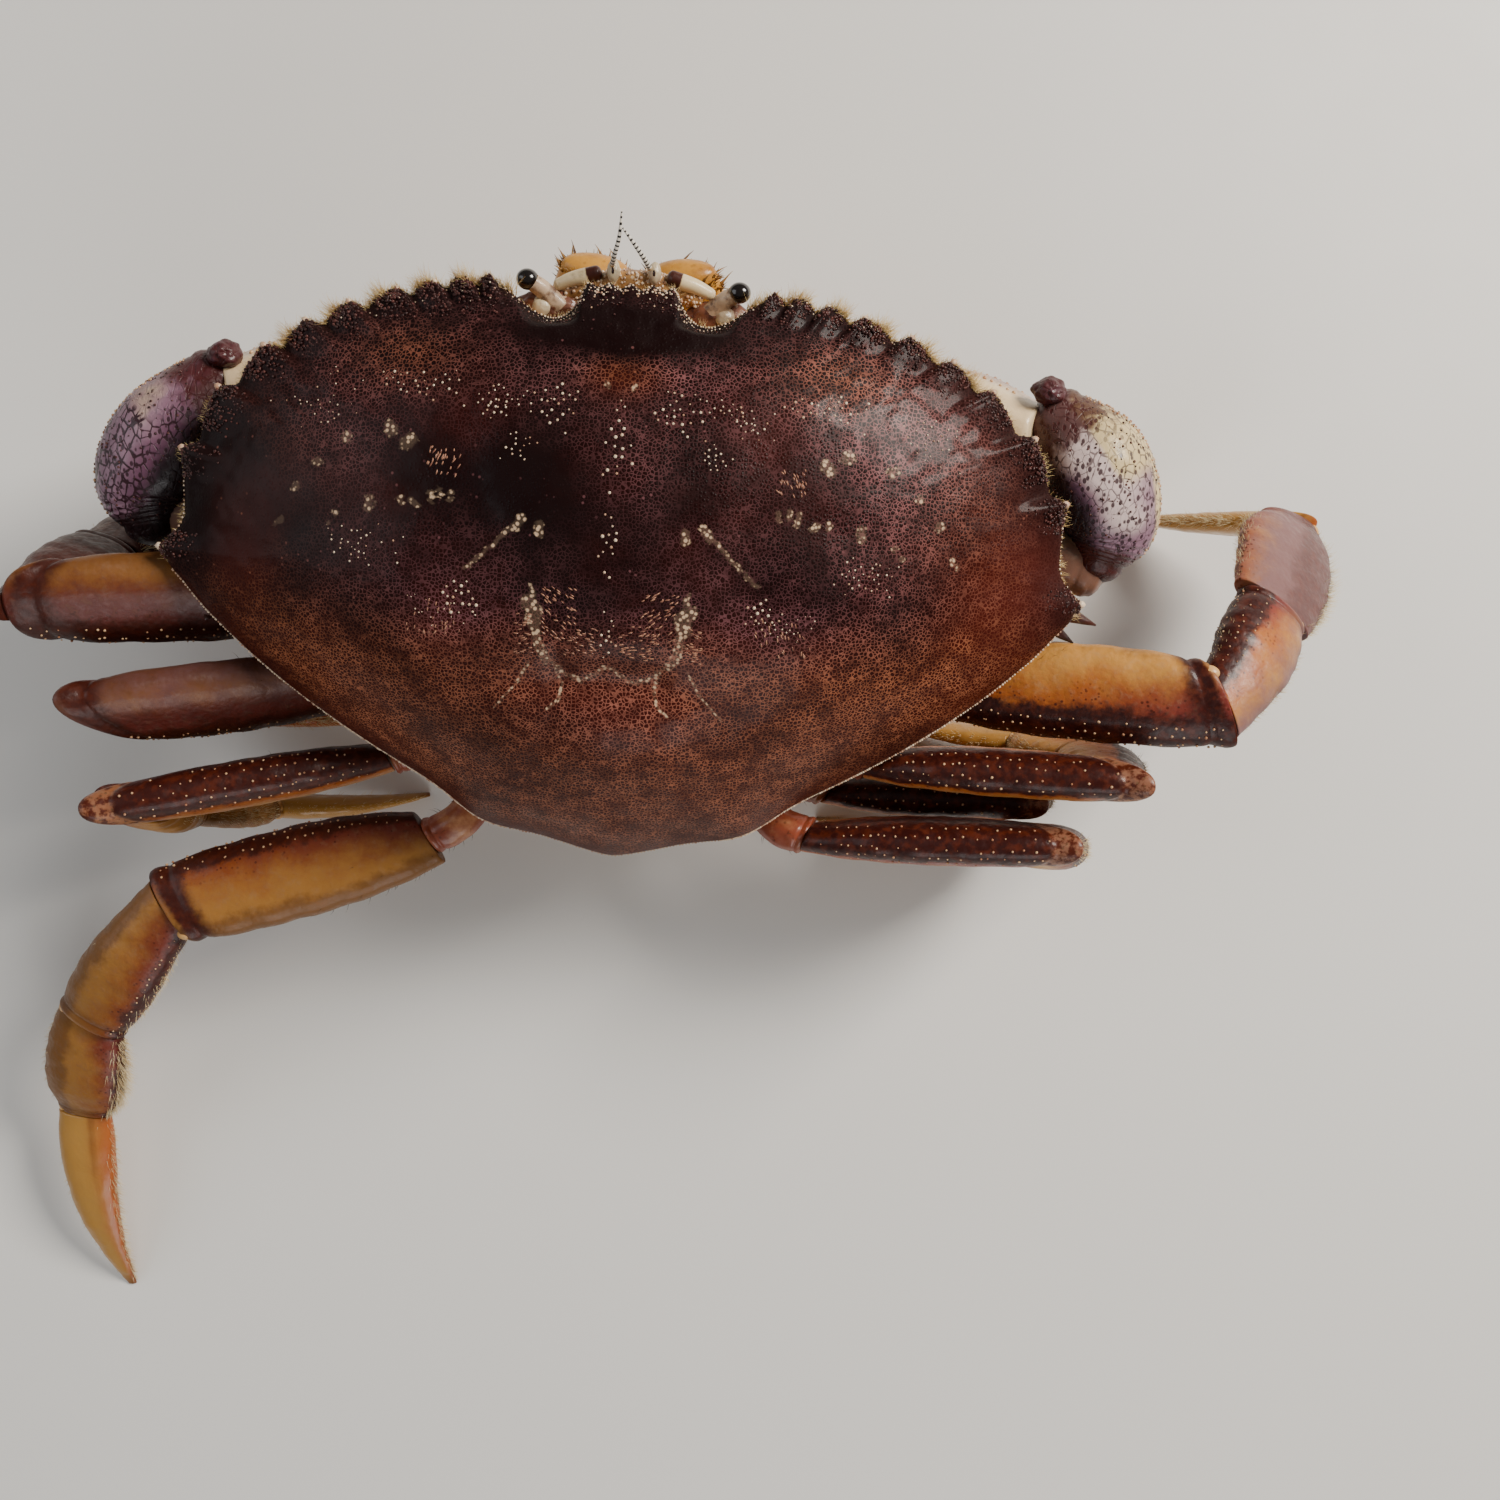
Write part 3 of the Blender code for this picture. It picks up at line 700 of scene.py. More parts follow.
@dataclass
class Swarm:
    """Many small copies of one form, joined into one piece."""

    name: str
    material: Material
    slot: Slot
    points: list = field(default_factory=list)
    faces: list = field(default_factory=list)
    tones: list = field(default_factory=list)
    count: int = 0

    def add(self, form: tuple, places: Array, ups, ahead, sizes, bow: float = 0.0) -> None:
        """Set one copy at each place.

        Args:
            form: vertices and faces of the copy.
            places: where each copy's foot stands, in millimetres.
            ups: the way that Z looks, one for each copy or one for all.
            ahead: the way that X leans, likewise.
            sizes: half length, half width and height, likewise.
            bow: how far a copy's tip leans over along X, as a share of its height.
        """
        ups, ahead, sizes = (np.broadcast_to(np.asarray(values, dtype=float), places.shape)
                             for values in (ups, ahead, sizes))
        up = unit(ups)
        side = unit(np.cross(up, ahead))
        front = np.cross(side, up)
        shape = form[0]
        x, y, z = np.moveaxis(shape * sizes[:, None, :], -1, 0)[..., None]
        bent = (bow * shape[:, 2] ** 2 * sizes[:, 2, None])[..., None]
        spots = places[:, None] + front[:, None] * (x + bent) + side[:, None] * y + up[:, None] * z
        self.points.append(spots.reshape(-1, 3))
        self.tones.append(np.repeat(np.random.default_rng(len(places)).random(len(places)), len(shape)))
        for copy in range(len(places)):
            base = self.count + copy * len(shape)
            self.faces.extend([[base + index for index in face] for face in form[1]])
        self.count += spots.shape[0] * spots.shape[1]

    def finish(self) -> bpy.types.Object:
        """Join the copies into one piece."""
        spots = STANCE.place(np.concatenate(self.points))
        spots[:, 2] = np.maximum(spots[:, 2], 0.0)
        mesh = bpy.data.meshes.new(self.name)
        mesh.from_pydata(spots.tolist(), [], self.faces)
        layer = mesh.attributes.new("tone", "FLOAT", "POINT")
        layer.data.foreach_set("value", (np.concatenate(self.tones) * 0.5 - 0.25).astype(np.float32))
        return new_piece(self.name, mesh, self.material)


@dataclass
class Finishes:
    """Every material of the crab, made once."""

    PLAIN = {
        "chest": ("chest_shell", (228, 204, 164), (206, 160, 112), (150, 90, 60), 0.15),
        "root": ("leg_root", (196, 140, 96), (132, 62, 40), (70, 26, 20), 0.5),
        "plate": ("mouth_plate", (196, 140, 60), (152, 98, 38), (110, 66, 30), 0.3, 220.0, 0.25),
        "hinge": ("hinge_shell", (206, 158, 98), (150, 82, 42), (110, 50, 30), 0.3, 420.0),
        "jaw_hair": ("jaw_bristle", (150, 112, 62), (84, 60, 38), (50, 34, 24), 0.1, 400.0, 0.4),
        "stalk": ("stalk_shell", (190, 164, 136), (70, 36, 28), (40, 18, 14), 0.5, 560.0),
        "socket": ("eye_socket", (118, 72, 52), (52, 25, 19), (206, 180, 150), 0.8, 500.0),
        "grain": ("cream_grain", (222, 198, 170), (178, 134, 106), (150, 110, 90), 0.1, 600.0),
        "tan_grain": ("tan_grain", (160, 112, 88), (110, 66, 52), (90, 50, 40), 0.1, 600.0, 0.35),
        "limb_grain": ("limb_grain", (206, 166, 126), (160, 106, 76), (120, 70, 50), 0.1, 600.0),
        "tooth": ("dark_grain", (44, 15, 12), (88, 46, 40), (40, 16, 12), 0.1, 500.0),
        "spine": ("dark_spine", (34, 14, 11), (64, 28, 20), (120, 80, 60), 0.1, 300.0),
        "arm": ("upper_arm", (196, 180, 148), (122, 86, 70), (110, 60, 60), 0.15, 140.0),
        "pale_hair": ("pale_bristle", (226, 208, 164), (190, 154, 100), (140, 100, 60), 0.1, 400.0, 0.4),
        "feeler": ("feeler_root", (222, 200, 158), (64, 28, 20), (120, 74, 44), 0.2, 300.0),
        "hair": ("golden_bristle", (222, 194, 134), (176, 134, 78), (120, 80, 40), 0.1, 400.0, 0.4),
        "dark_hair": ("dark_bristle", (58, 34, 24), (96, 66, 44), (30, 16, 12), 0.1, 400.0, 0.4),
        "skin": ("joint_skin", (176, 146, 132), (134, 96, 84), (100, 60, 50), 0.1, 300.0),
        "flesh": ("face_flesh", (172, 128, 78), (88, 52, 36), (232, 214, 180), 0.6, 500.0, 0.25),
    }

    def __post_init__(self) -> None:
        """Make the materials."""
        self.back = BackFinish().make()
        self.limb = LimbFinish().make()
        self.tip = TipFinish().make()
        self.wrist = WristFinish().make()
        self.hand = HandFinish().make()
        self.ball = BallFinish().make()
        self.rings = BandedFinish().make()
        for key, (name, first, second, speck, *rest) in self.PLAIN.items():
            colours = (tint(*colour) for colour in (first, second, speck))
            setattr(self, key, PlainShellFinish(name, *colours, *rest).make())


@dataclass
class Kit:
    """What the limbs and the face share: finishes, joined swarms, chest and random draws."""

    finishes: Finishes
    swarms: dict
    chest: "Chest"
    rng: np.random.Generator


@dataclass(frozen=True)
class Patch:
    """Soft oval where the back or one of its colours rises or falls, on both sides unless told not to."""

    rise: float
    x: float
    y: float
    spread_x: float
    spread_y: float
    mirrored: bool = True

    def over(self, x: Array, y: Array) -> Array:
        """The rise at each place."""
        across = np.abs(x) if self.mirrored else x
        away = ((across - self.x) / self.spread_x) ** 2 + ((y - self.y) / self.spread_y) ** 2
        return self.rise * np.exp(-away)


@dataclass(frozen=True)
class Mark:
    """One cream mark on the back: a spot, or a line through points, mirrored on the other side."""

    points: tuple
    size: float
    strength: float = 1.0


@dataclass
class Carapace:
    """Domed back shell with its toothed margin."""

    finishes: Finishes
    side_reach: float = 80.0
    side_spine: float = 3.73
    front_reach: float = 50.5
    front_power: float = 2.3
    rear_side_reach: float = 84.0
    rear_reach: float = 56.0
    rear_power: float = 1.35
    rear_corner: float = 153.0
    rear_bulge: float = 2.3
    dome_rise: float = 24.0
    front_rim: float = 7.2
    rear_drop: float = 8.0
    rim_thickness: float = 1.8
    floor: float = -14.0
    floor_reach: float = 0.52
    under_edge: float = 0.985
    tooth_angles: tuple = (24.4, 29.6, 34.6, 40.3, 47.4, 53.8, 60.2, 68.1, 77.2, 90.0)
    tooth_proud: float = 3.0
    spine_rise: tuple = ((0.07, 2.6), (0.2, 1.5), (0.45, 0.7), (0.66, 0.3), (0.78, 0.7), (0.88, 1.9),
                         (0.95, 3.0))
    spine_fall: tuple = ((92.5, 2.4), (94.5, 1.1), (97.0, 0.4), (100.0, 0.0), (180.0, 0.0))
    front_tooth_step: float = 2.1
    orbit: tuple = (9.4, 23.4)
    orbit_depth: float = 5.6
    swellings: tuple = (Patch(1.2, 0, -16, 20, 14), Patch(-2.6, 0, 17, 16, 5), Patch(1.0, 0, 30, 12, 9),
                        Patch(1.4, 38, 10, 20, 17), Patch(0.8, 28, -34, 10, 8), Patch(-0.8, 24, 2, 8, 12))
    grooves: tuple = (
        (((26, -30), (25, -20), (21, -10), (14, 0), (9.5, 9), (8, 14), (4.7, 16.3), (1, 14.5)), 0.25, 3.4),
        (((8, 15), (9.5, 24), (15, 38)), 0.35, 2.2),
        (((22, -12), (34, -14), (48, -8)), 0.25, 3.0),
    )
    marks: tuple = (
        Mark(((39.0, -24.6), (38.8, -24.2)), 1.9), Mark(((35.2, -22.8), (36.2, -21.8)), 1.7),
        Mark(((46.8, -22.4), (46.9, -22.2)), 1.7), Mark(((52.0, -18.0), (52.1, -17.8)), 1.4),
        Mark(((55.8, -13.4), (55.9, -13.2)), 1.4), Mark(((42.0, -12.4), (42.3, -10.8)), 1.3),
        Mark(((48.2, -9.6), (48.4, -9.2)), 0.9), Mark(((36.5, -13.2), (36.4, -12.2)), 0.8),
        Mark(((34.4, -12.6), (33.6, -12.0)), 1.0), Mark(((31.0, -12.6), (31.2, -14.4)), 0.8),
        Mark(((29.4, -13.4), (29.6, -15.0)), 0.8), Mark(((27.8, -13.0), (27.6, -14.6)), 0.7),
        Mark(((58.6, -7.6), (58.8, -7.2)), 1.0), Mark(((49.6, -7.8), (49.7, -7.6)), 0.8, 0.8),
        Mark(((15.2, -11.2), (16.4, -9.6)), 1.3),
        Mark(((16.8, -9.6), (20.2, -6.2), (24.8, -2.0)), 0.75, 0.9),
        Mark(((12.2, -10.2), (12.3, -8.8)), 1.3), Mark(((2.3, -33.8), (2.2, -33.6)), 1.0, 0.8),
        Mark(((13.4, 0.2), (12.9, 1.6)), 0.9, 0.9), Mark(((13.8, 3.0), (12.6, 4.6), (12.8, 6.2)), 2.1, 1.1),
        Mark(((12.4, 7.6), (11.9, 10.6), (10.6, 13.0)), 1.3, 1.1),
        Mark(((9.8, 13.4), (7.2, 15.7), (4.6, 16.6), (2.4, 15.4), (0.9, 14.0), (0.0, 13.9)), 0.65, 1.0),
        Mark(((9.0, 14.8), (8.0, 17.6), (8.6, 20.4), (10.6, 22.4)), 0.5, 0.9),
        Mark(((13.6, 13.6), (16.2, 18.2), (20.2, 23.0)), 0.5, 0.8),
        Mark(((59.6, -6.8), (60.0, -6.4)), 0.9, 0.8),
    )
    grain_beds: tuple = (
        (35.0, -32.2, 6.5, 1.8, 24, 0.42), (44.0, -4.6, 5.0, 2.4, 26, 0.32),
        (25.6, 2.8, 2.6, 2.0, 20, 0.46), (0.0, -25.0, 1.4, 5.0, 20, 0.50), (0.3, -7.2, 1.2, 3.4, 18, 0.50),
        (-0.1, 8.8, 1.0, 3.2, 14, 0.40), (18.4, -30.6, 3.6, 1.8, 16, 0.34),
        (10.4, -30.2, 2.6, 2.6, 26, 0.44), (16.4, -23.0, 1.8, 2.2, 16, 0.34),
        (21.6, -28.6, 2.4, 1.6, 12, 0.34), (30.0, 4.8, 5.0, 2.4, 16, 0.26),
        (52.0, -28.0, 6.0, 3.0, 24, 0.26),
    )
    dash_beds: tuple = (
        (8.6, 4.6, 3.0, 4.6, 34, -0.6), (14.6, 8.6, 1.4, 3.6, 18, 0.2), (5.0, 9.0, 3.0, 3.0, 22, -0.2),
        (29.2, -19.6, 2.8, 2.4, 20, 1.2), (30.0, 7.0, 5.0, 3.2, 18, 1.3),
    )

    net_patches: tuple = (
        Patch(0.65, 37, -37, 13, 6), Patch(0.28, 48, -22, 12, 9), Patch(0.55, 8, -36, 9, 3.2),
        Patch(-0.75, 0, -42.5, 17, 4.2), Patch(-0.35, 71, -8, 10, 18), Patch(-0.35, 33, -18, 8, 9),
        Patch(-0.25, 0, -8, 9, 12), Patch(0.18, -6, -20, 7, 11, False),
        Patch(0.45, -52, -18, 20, 22, False), Patch(-0.45, 15, -17, 9, 9, False),
        Patch(-0.25, -14, -16, 6, 8, False),
        # The one-sided patches at (-46, 20) and (-40, -34) strengthen the pale network on the right and the
        # one at (54, -14) weakens it on the left: painted light on the right and painted shade on the left.
        Patch(0.18, -46, 20, 26, 16, False), Patch(0.55, -40, -34, 12, 9, False),
        Patch(-0.26, 54, -14, 18, 15, False), Patch(-0.14, -50, -12, 18, 14, False),
        Patch(0.2, -68, 0, 12, 20, False),
    )
    tan_patches: tuple = (
        Patch(0.65, 37, -37, 12, 6), Patch(0.7, 68, -6, 14, 22), Patch(0.9, 0, -35.5, 6, 3.4),
        Patch(-0.55, 27, 4, 9, 8), Patch(-0.4, 0, -2, 14, 12), Patch(-0.35, 0, 22, 18, 8),
    )
    red_patches: tuple = (
        Patch(0.3, 66, 2, 8, 9), Patch(0.4, 0, -35, 7, 3.4), Patch(0.3, 26, -28, 8, 6),
        Patch(-0.2, 76, -8, 9, 30), Patch(-0.6, 0, -42.5, 18, 4), Patch(0.3, 70, -6, 9, 16, False),
        Patch(0.6, -72, -4, 12, 24, False), Patch(-0.2, 14, -16, 10, 9, False),
    )

    def reach(self, angle: Array) -> Array:
        """Distance of the plain margin from the centre; angle 0 is straight ahead."""
        ahead = np.cos(angle)
        front = ahead >= 0.0
        power = np.where(front, self.front_power, self.rear_power)
        widening = ease((np.degrees(angle) - 84.0) / 16.0)
        side = self.side_reach + (self.rear_side_reach - self.side_reach) * widening
        far = np.where(front, self.front_reach, self.rear_reach)
        total = (np.abs(np.sin(angle)) / side) ** power + (np.abs(ahead) / far) ** power
        corner = (np.degrees(angle) - self.rear_corner) / 9.0
        return total ** (-1.0 / power) + self.rear_bulge * np.exp(-corner * corner)

    def __post_init__(self) -> None:
        """Smooth the margin's corners for use inside the rim."""
        self.whole_degrees = np.arange(-180.0, 181.0)
        exact = self.reach(np.radians(np.abs(self.whole_degrees[:-1])))
        spread = np.exp(-(np.arange(-30, 31) / 13.0) ** 2)
        soft = np.convolve(np.pad(exact, 30, mode="wrap"), spread / spread.sum(), "valid")
        self.soft_reach = np.append(soft, soft[0])

    def inner_reach(self, angle: Array, r: Array) -> Array:
        """Reach whose corners are smoothed away inside the rim."""
        soft = np.interp(np.degrees(angle), self.whole_degrees, self.soft_reach)
        return soft + (self.reach(angle) - soft) * ease((r - 0.70) / 0.29)

    def rim_height(self, angle: Array) -> Array:
        """Height of the margin."""
        ahead = np.cos(angle)
        return ahead * np.where(ahead > 0.0, self.front_rim, self.rear_drop)

    def stations(self) -> list:
        """Angles in degrees round half the margin, each with how far it stands out or is cut in."""
        rim = [(step * self.front_tooth_step, 0.6 if step % 2 == 0 else -0.35) for step in range(5)]
        inner, outer = self.orbit
        for step in range(1, 10):
            f = step / 10.0
            rim.append((inner + (outer - inner) * f, -self.orbit_depth * math.sin(math.pi * f) ** 0.6))
        rim.append((self.tooth_angles[0], 0.3))
        last_proud = 0.3
        for last, angle in zip(self.tooth_angles, self.tooth_angles[1:]):
            gap = angle - last
            spine = angle == self.tooth_angles[-1]
            proud = self.side_spine if spine else self.tooth_proud * float(ease(0.25 + angle / 70.0))
            valley = 0.8
            rise = ((0.07, 0.90 * last_proud), (0.25, 0.72 * self.tooth_proud + 0.2),
                    (0.45, 0.62 * self.tooth_proud), (0.66, 0.40 * self.tooth_proud), (0.80, valley),
                    (0.86, valley + 0.2), (0.93, valley + 0.62 * (proud - valley)))
            rim += [(last + f * gap, out) for f, out in (self.spine_rise if spine else rise)]
            rim.append((angle, proud))
            last_proud = proud
        return rim + list(self.spine_fall)

    def top(self, x: Array, y: Array, r: Array, rim: Array) -> Array:
        """Height of the back at a fraction r of the way out to the margin."""
        z = rim * r * r + self.dome_rise * np.maximum(1.0 - r**2.2, 0.0) ** 0.9
        fade = 1.0 - np.minimum(r, 1.0) ** 6
        for swelling in self.swellings:
            z = z + swelling.over(x, y) * fade
        for points, depth, width in self.grooves:
            away = line_distance(np.abs(x), y, points)
            z = z - depth * np.exp(-(away / width) ** 2) * fade
        return z

    def height(self, x: Array, y: Array) -> Array:
        """Height of the back over any place inside the margin."""
        angle = np.arctan2(np.abs(x), -y)
        far = np.hypot(x, y)
        r = far / self.inner_reach(angle, far / self.reach(angle))
        return self.top(x, y, r, self.rim_height(angle))

    def spots_and_ups(self, x: Array, y: Array) -> tuple:
        """Places on the back and the way that the back looks there."""
        step = 0.2
        z = self.height(x, y)
        slope_x = (self.height(x + step, y) - z) / step
        slope_y = (self.height(x, y + step) - z) / step
        ups = unit(np.stack((-slope_x, -slope_y, np.ones_like(x)), axis=-1))
        return np.stack((x, y, z), axis=-1), ups

    def under(self, x: Array, y: Array, r: Array, rim: Array) -> Array:
        """Height of the underside, which falls from the margin to the flat over the chest."""
        f = np.clip((self.under_edge - r) / (self.under_edge - self.floor_reach), 0.0, 1.0)
        mouth = np.where(y < 0.0, np.exp(-(x / 22.0) ** 2), 0.0)
        edge = rim - self.rim_thickness
        return edge + (self.floor - edge) * f ** (1.2 - 0.55 * mouth)

    def outer_surface(self, angle: Array, side: Array | float, r: Array) -> tuple:
        """Places on the back by angle and fraction out, teeth and eye notches among them.

        Args:
            angle: angle from straight ahead.
            side: 1 for the left half and -1 for the right.
            r: fraction of the way out to the margin.

        Returns:
            Places on the back, and how far the margin stands out at each angle.
        """
        degrees = np.degrees(angle)
        known = np.array(self.stations())
        proud = np.interp(degrees, known[:, 0], known[:, 1])
        notch = ease((-proud - 1.5) / 2.0)
        fade = notch * ease((r - 0.84) / 0.16) + (1.0 - notch) * ease((r - 0.93) / 0.07)
        reach = self.inner_reach(angle, r) * r + proud * fade
        x, y = side * reach * np.sin(angle), -reach * np.cos(angle)
        z = self.top(x, y, r, self.rim_height(angle))
        toothed = ease((degrees - 22.0) / 4.0) * ease((88.0 - degrees) / 6.0) * ease((r - 0.90) / 0.07)
        z += 1.2 * toothed * np.clip(proud / self.tooth_proud - 0.4, -0.5, 0.6)
        orbit = ease((degrees - 8.4) / 2.0) * ease((25.0 - degrees) / 2.0)
        z += 0.3 * orbit * ease((r - 0.90) / 0.09)
        return np.stack((x, y, z), axis=-1), proud

    def levels(self) -> list:
        """Rings from the crown to the floor: fraction out, drop below the top, and whether on top."""
        crown = [(step / 88.0, 0.0, 1.0) for step in range(87)]
        rim = [(0.99, 0.02, 1.0), (0.996, 0.12, 1.0), (1.0, 0.5, 1.0), (1.0, 1.2, 1.0)]
        below = [(self.under_edge - (self.under_edge - self.floor_reach) * step / 22.0, 0.0, 0.0)
                 for step in range(23)]
        return crown + rim + below + [(0.3, 0.0, 0.0), (0.0, 0.0, 0.0)]

    def margin_angles(self) -> Array:
        """Angles of the margin's points round one half, with every tooth's points among them."""
        exact = np.array([angle for angle, _ in self.stations()])
        even = np.concatenate((np.linspace(0.0, 95.0, 205), np.linspace(96.0, 180.0, 90)))
        far = np.abs(even[:, None] - exact[None, :]).min(axis=1) > 0.16
        return np.radians(np.sort(np.concatenate((even[far], exact))))

    def build(self) -> bpy.types.Object:
        """Make the shell."""
        half = self.margin_angles()
        round_count = 2 * (len(half) - 1)
        levels = np.array(self.levels())
        bm, level, turn = ball_grid(round_count, len(levels) - 1)
        index = np.rint(turn / (2.0 * math.pi) * round_count).astype(int) % round_count
        left = index < len(half)
        angle = half[np.where(left, index, round_count - index)]
        side = np.where(left, 1.0, -1.0)
        r, drop, on_top = levels[level].T
        spots, proud = self.outer_surface(angle, side, r)
        x, y = spots[:, 0], spots[:, 1]
        rim = self.rim_height(angle)
        spots[:, 2] = np.where(on_top > 0.5, spots[:, 2] - drop, self.under(x, y, r, rim))
        rough = ripple(spots, 2.2) * 0.10 + ripple(spots, 9.0) * 0.14
        near_rim = ease((r - 0.7) / 0.2) * ease((100.0 - np.degrees(angle)) / 20.0)
        spots[:, 2] += rough * (0.5 + 1.3 * near_rim) * (on_top > 0.5) * ease(r / 0.1)
        masks = self.colour_masks(x, y, r, angle, on_top, proud)
        return closed_piece("back_shell", bm, spots, self.finishes.back, ("carapace",), masks)

    def colour_masks(self, x: Array, y: Array, r: Array, angle: Array,
                     on_top: Array, proud: Array) -> dict:
        """Where the network shows, how warm and red the shell is, and where its cream marks lie.

        Args:
            x: place across.
            y: place along.
            r: fraction of the way out to the margin.
            angle: angle from straight ahead.
            on_top: 1 on the back and 0 under it.
            proud: how far the margin stands out at that angle.

        Returns:
            The numbers that the back's finish reads.
        """
        rear = ease((y + 2.0) / 18.0)
        net, tan, red = (sum(patch.over(x, y) for patch in patches)
                         for patches in (self.net_patches, self.tan_patches, self.red_patches))
        margin = ease((r - 0.91) / 0.07)
        rear_fade = np.where(x > 0.0, 0.8, 0.45)
        net = (net + 0.30 + 0.62 * rear) * (1.0 - margin * np.where(y > 4.0, rear_fade, 0.75))
        tan = tan + 0.10 + 0.85 * rear
        red = red + 0.18 + 0.36 * rear + 0.06 * margin * rear
        pale = np.zeros_like(x)
        for mark in self.marks:
            away = line_distance(np.abs(x), y, mark.points)
            pale = np.maximum(pale, mark.strength * ease(1.2 - 1.15 * away / mark.size))
        degrees = np.degrees(angle)
        teeth = ease((degrees - 22.5) / 4.0) * ease((96.0 - degrees) / 4.0)
        cleft = teeth * ease((1.15 - proud) / 1.0) * ease((r - 0.925) / 0.05) * ease((82.0 - degrees) / 8.0)
        tip = teeth * ease((proud - 2.0) / 1.2) * ease((r - 0.985) / 0.01)
        pale = np.maximum(pale, np.maximum(0.75 * cleft, 0.8 * tip)) * (on_top > 0.5)
        rough = ease((r - 0.86) / 0.08) * ease((degrees - 3.0) / 6.0)
        rough *= ease((100.0 - degrees) / 8.0) * on_top
        return {"net": np.clip(net, 0.0, 1.1), "tan": np.clip(tan, 0.0, 1.0), "rough": rough,
                "red": np.clip(red, 0.0, 1.0), "pale": pale, "below": 1.0 - on_top}

    def grains(self) -> None:
        """Cream grains in beds on the back and in rows along the margin."""
        rng = np.random.default_rng(11)
        swarm = Swarm("shell_grains", self.finishes.grain, Slot.SHELL)
        dashes = Swarm("shell_dashes", self.finishes.tan_grain, Slot.SHELL)
        bead = round_form()
        for centre_x, centre_y, spread_x, spread_y, count, size in self.grain_beds:
            for mirror in ((1.0,) if abs(centre_x) < 1.0 else (1.0, -1.0)):
                x = mirror * (centre_x + rng.normal(0.0, spread_x * 0.6, 3 * count))
                y = centre_y + rng.normal(0.0, spread_y * 0.6, 3 * count)
                kept = spaced(np.stack((x, y), axis=-1), 2.1 * size)[:int(count * 1.3)]
                spots, ups = self.spots_and_ups(x[kept], y[kept])
                sizes = size * rng.uniform(0.35, 0.75, len(kept))
                swarm.add(bead, spots, ups, (1.0, 0.0, 0.0), sized(sizes, sizes, sizes * 0.6))
        for centre_x, centre_y, spread_x, spread_y, count, lean in self.dash_beds:
            count = int(count * 1.6)
            for mirror in (1.0, -1.0):
                x = mirror * (centre_x + rng.uniform(-1.0, 1.0, count) * spread_x)
                y = centre_y + rng.uniform(-1.0, 1.0, count) * spread_y
                spots, ups = self.spots_and_ups(x, y)
                angle = lean + rng.normal(0.0, 0.2, count)
                ahead = np.stack((mirror * np.cos(angle), np.sin(angle), np.zeros(count)), axis=-1)
                dashes.add(bead, spots, ups, ahead, sized(rng.uniform(0.3, 0.65, count), 0.15, 0.105))
        swarm.finish()
        dashes.finish()
        self.margin_grains(rng)

    def margin(self, degrees: Array, side: float, inset: Array | float = 0.0,
               lift: float = 0.0) -> Array:
        """Places on the margin itself, or so many millimetres inside it on the back."""
        angle = np.radians(degrees)
        spots, _ = self.outer_surface(angle, side, 1.0 - inset / self.reach(angle))
        return spots + (0.0, 0.0, lift)

    def margin_grains(self, rng: np.random.Generator) -> None:
        """Rows of beads along the teeth, the eye notches and the rear edge."""
        pale = Swarm("margin_beads", self.finishes.grain, Slot.SHELL)
        dark = Swarm("tooth_beads", self.finishes.tooth, Slot.SHELL)
        bead = round_form()
        rim_angles, rim_proud = np.array(self.stations()).T
        for side in (1.0, -1.0):
            rows = (
                (pale, 93.0, 158.0, 170, 0.34, 0.1, 0.0, -0.35),
                (pale, 158.0, 180.0, 34, 0.30, 0.1, 0.0, -0.35),
                (pale, 9.6, 24.0, 26, 0.24, 0.2, 0.03, 0.0), (pale, 9.8, 23.8, 20, 0.18, 1.0, 0.15, 0.0),
                (pale, 4.0, 13.0, 34, 0.20, 1.4, 0.8, 0.0), (pale, 0.2, 9.8, 40, 0.24, 0.4, 0.45, -0.05),
                (pale, 24.0, 50.0, 30, 0.19, 0.8, 0.7, 0.0), (pale, 79.0, 88.5, 17, 0.24, 0.1, 0.02, -0.1),
                (dark, 23.5, 91.0, 1300, 0.32, 0.8, 0.9, 0.0), (dark, 23.5, 91.0, 620, 0.24, 2.6, 1.3, 0.0),
                (dark, 2.0, 24.0, 120, 0.20, 2.2, 1.2, 0.0),
            )
            for swarm, first, last, count, size, inset, spread, lift in rows:
                degrees = np.linspace(first, last, count) + rng.normal(0.0, 0.03 + 0.4 * spread, count)
                if swarm is dark and first > 20.0:
                    degrees = degrees[np.interp(degrees, rim_angles, rim_proud) > 1.25]
                count = len(degrees)
                inset = np.abs(inset + rng.normal(0.0, 1.0, count) * spread)
                spots = self.margin(np.clip(degrees, 0.0, 180.0), side, inset, lift)
                sizes = size * rng.uniform(0.6, 1.1, count)
                away = unit(spots * FLAT) + (0.0, 0.0, 0.8)
                swarm.add(bead, spots, away, UP, sizes[:, None])
            tips = self.margin(np.array(self.tooth_angles[1:]), side, 0.25, -0.35)
            size = np.linspace(0.45, 0.8, len(tips))
            pale.add(bead, tips, UP, tips * FLAT, sized(size * 1.2, size, size * 0.8))
        pale.finish()
        dark.finish()

    def fringe(self) -> None:
        """Golden bristles that stand out from under the toothed margin."""
        rng = np.random.default_rng(23)
        swarm = Swarm("margin_bristles", self.finishes.hair, Slot.SHELL)
        spike = spike_form()
        for side in (1.0, -1.0):
            for first, last, count, length in ((23.0, 62.0, 2600, 2.5), (62.0, 92.0, 600, 1.3),
                                               (2.0, 22.0, 160, 1.2)):
                degrees = rng.uniform(first, last, count)
                spots = self.margin(degrees, side, 0.6, -1.0) + rng.normal(0.0, 0.25, (count, 3))
                away = unit(spots * FLAT)
                ups = away + rng.normal(0.0, 0.42, (count, 3)) + (0.0, 0.0, 0.05)
                clumps = 0.6 + 0.8 * ease(np.sin(degrees * 0.9) + 0.3)
                size = length * rng.uniform(0.35, 1.15, count) * clumps
                swarm.add(spike, spots, ups, rng.normal(0.0, 1.0, (count, 3)), sized(0.06, 0.06, size), 0.3)
        swarm.finish()

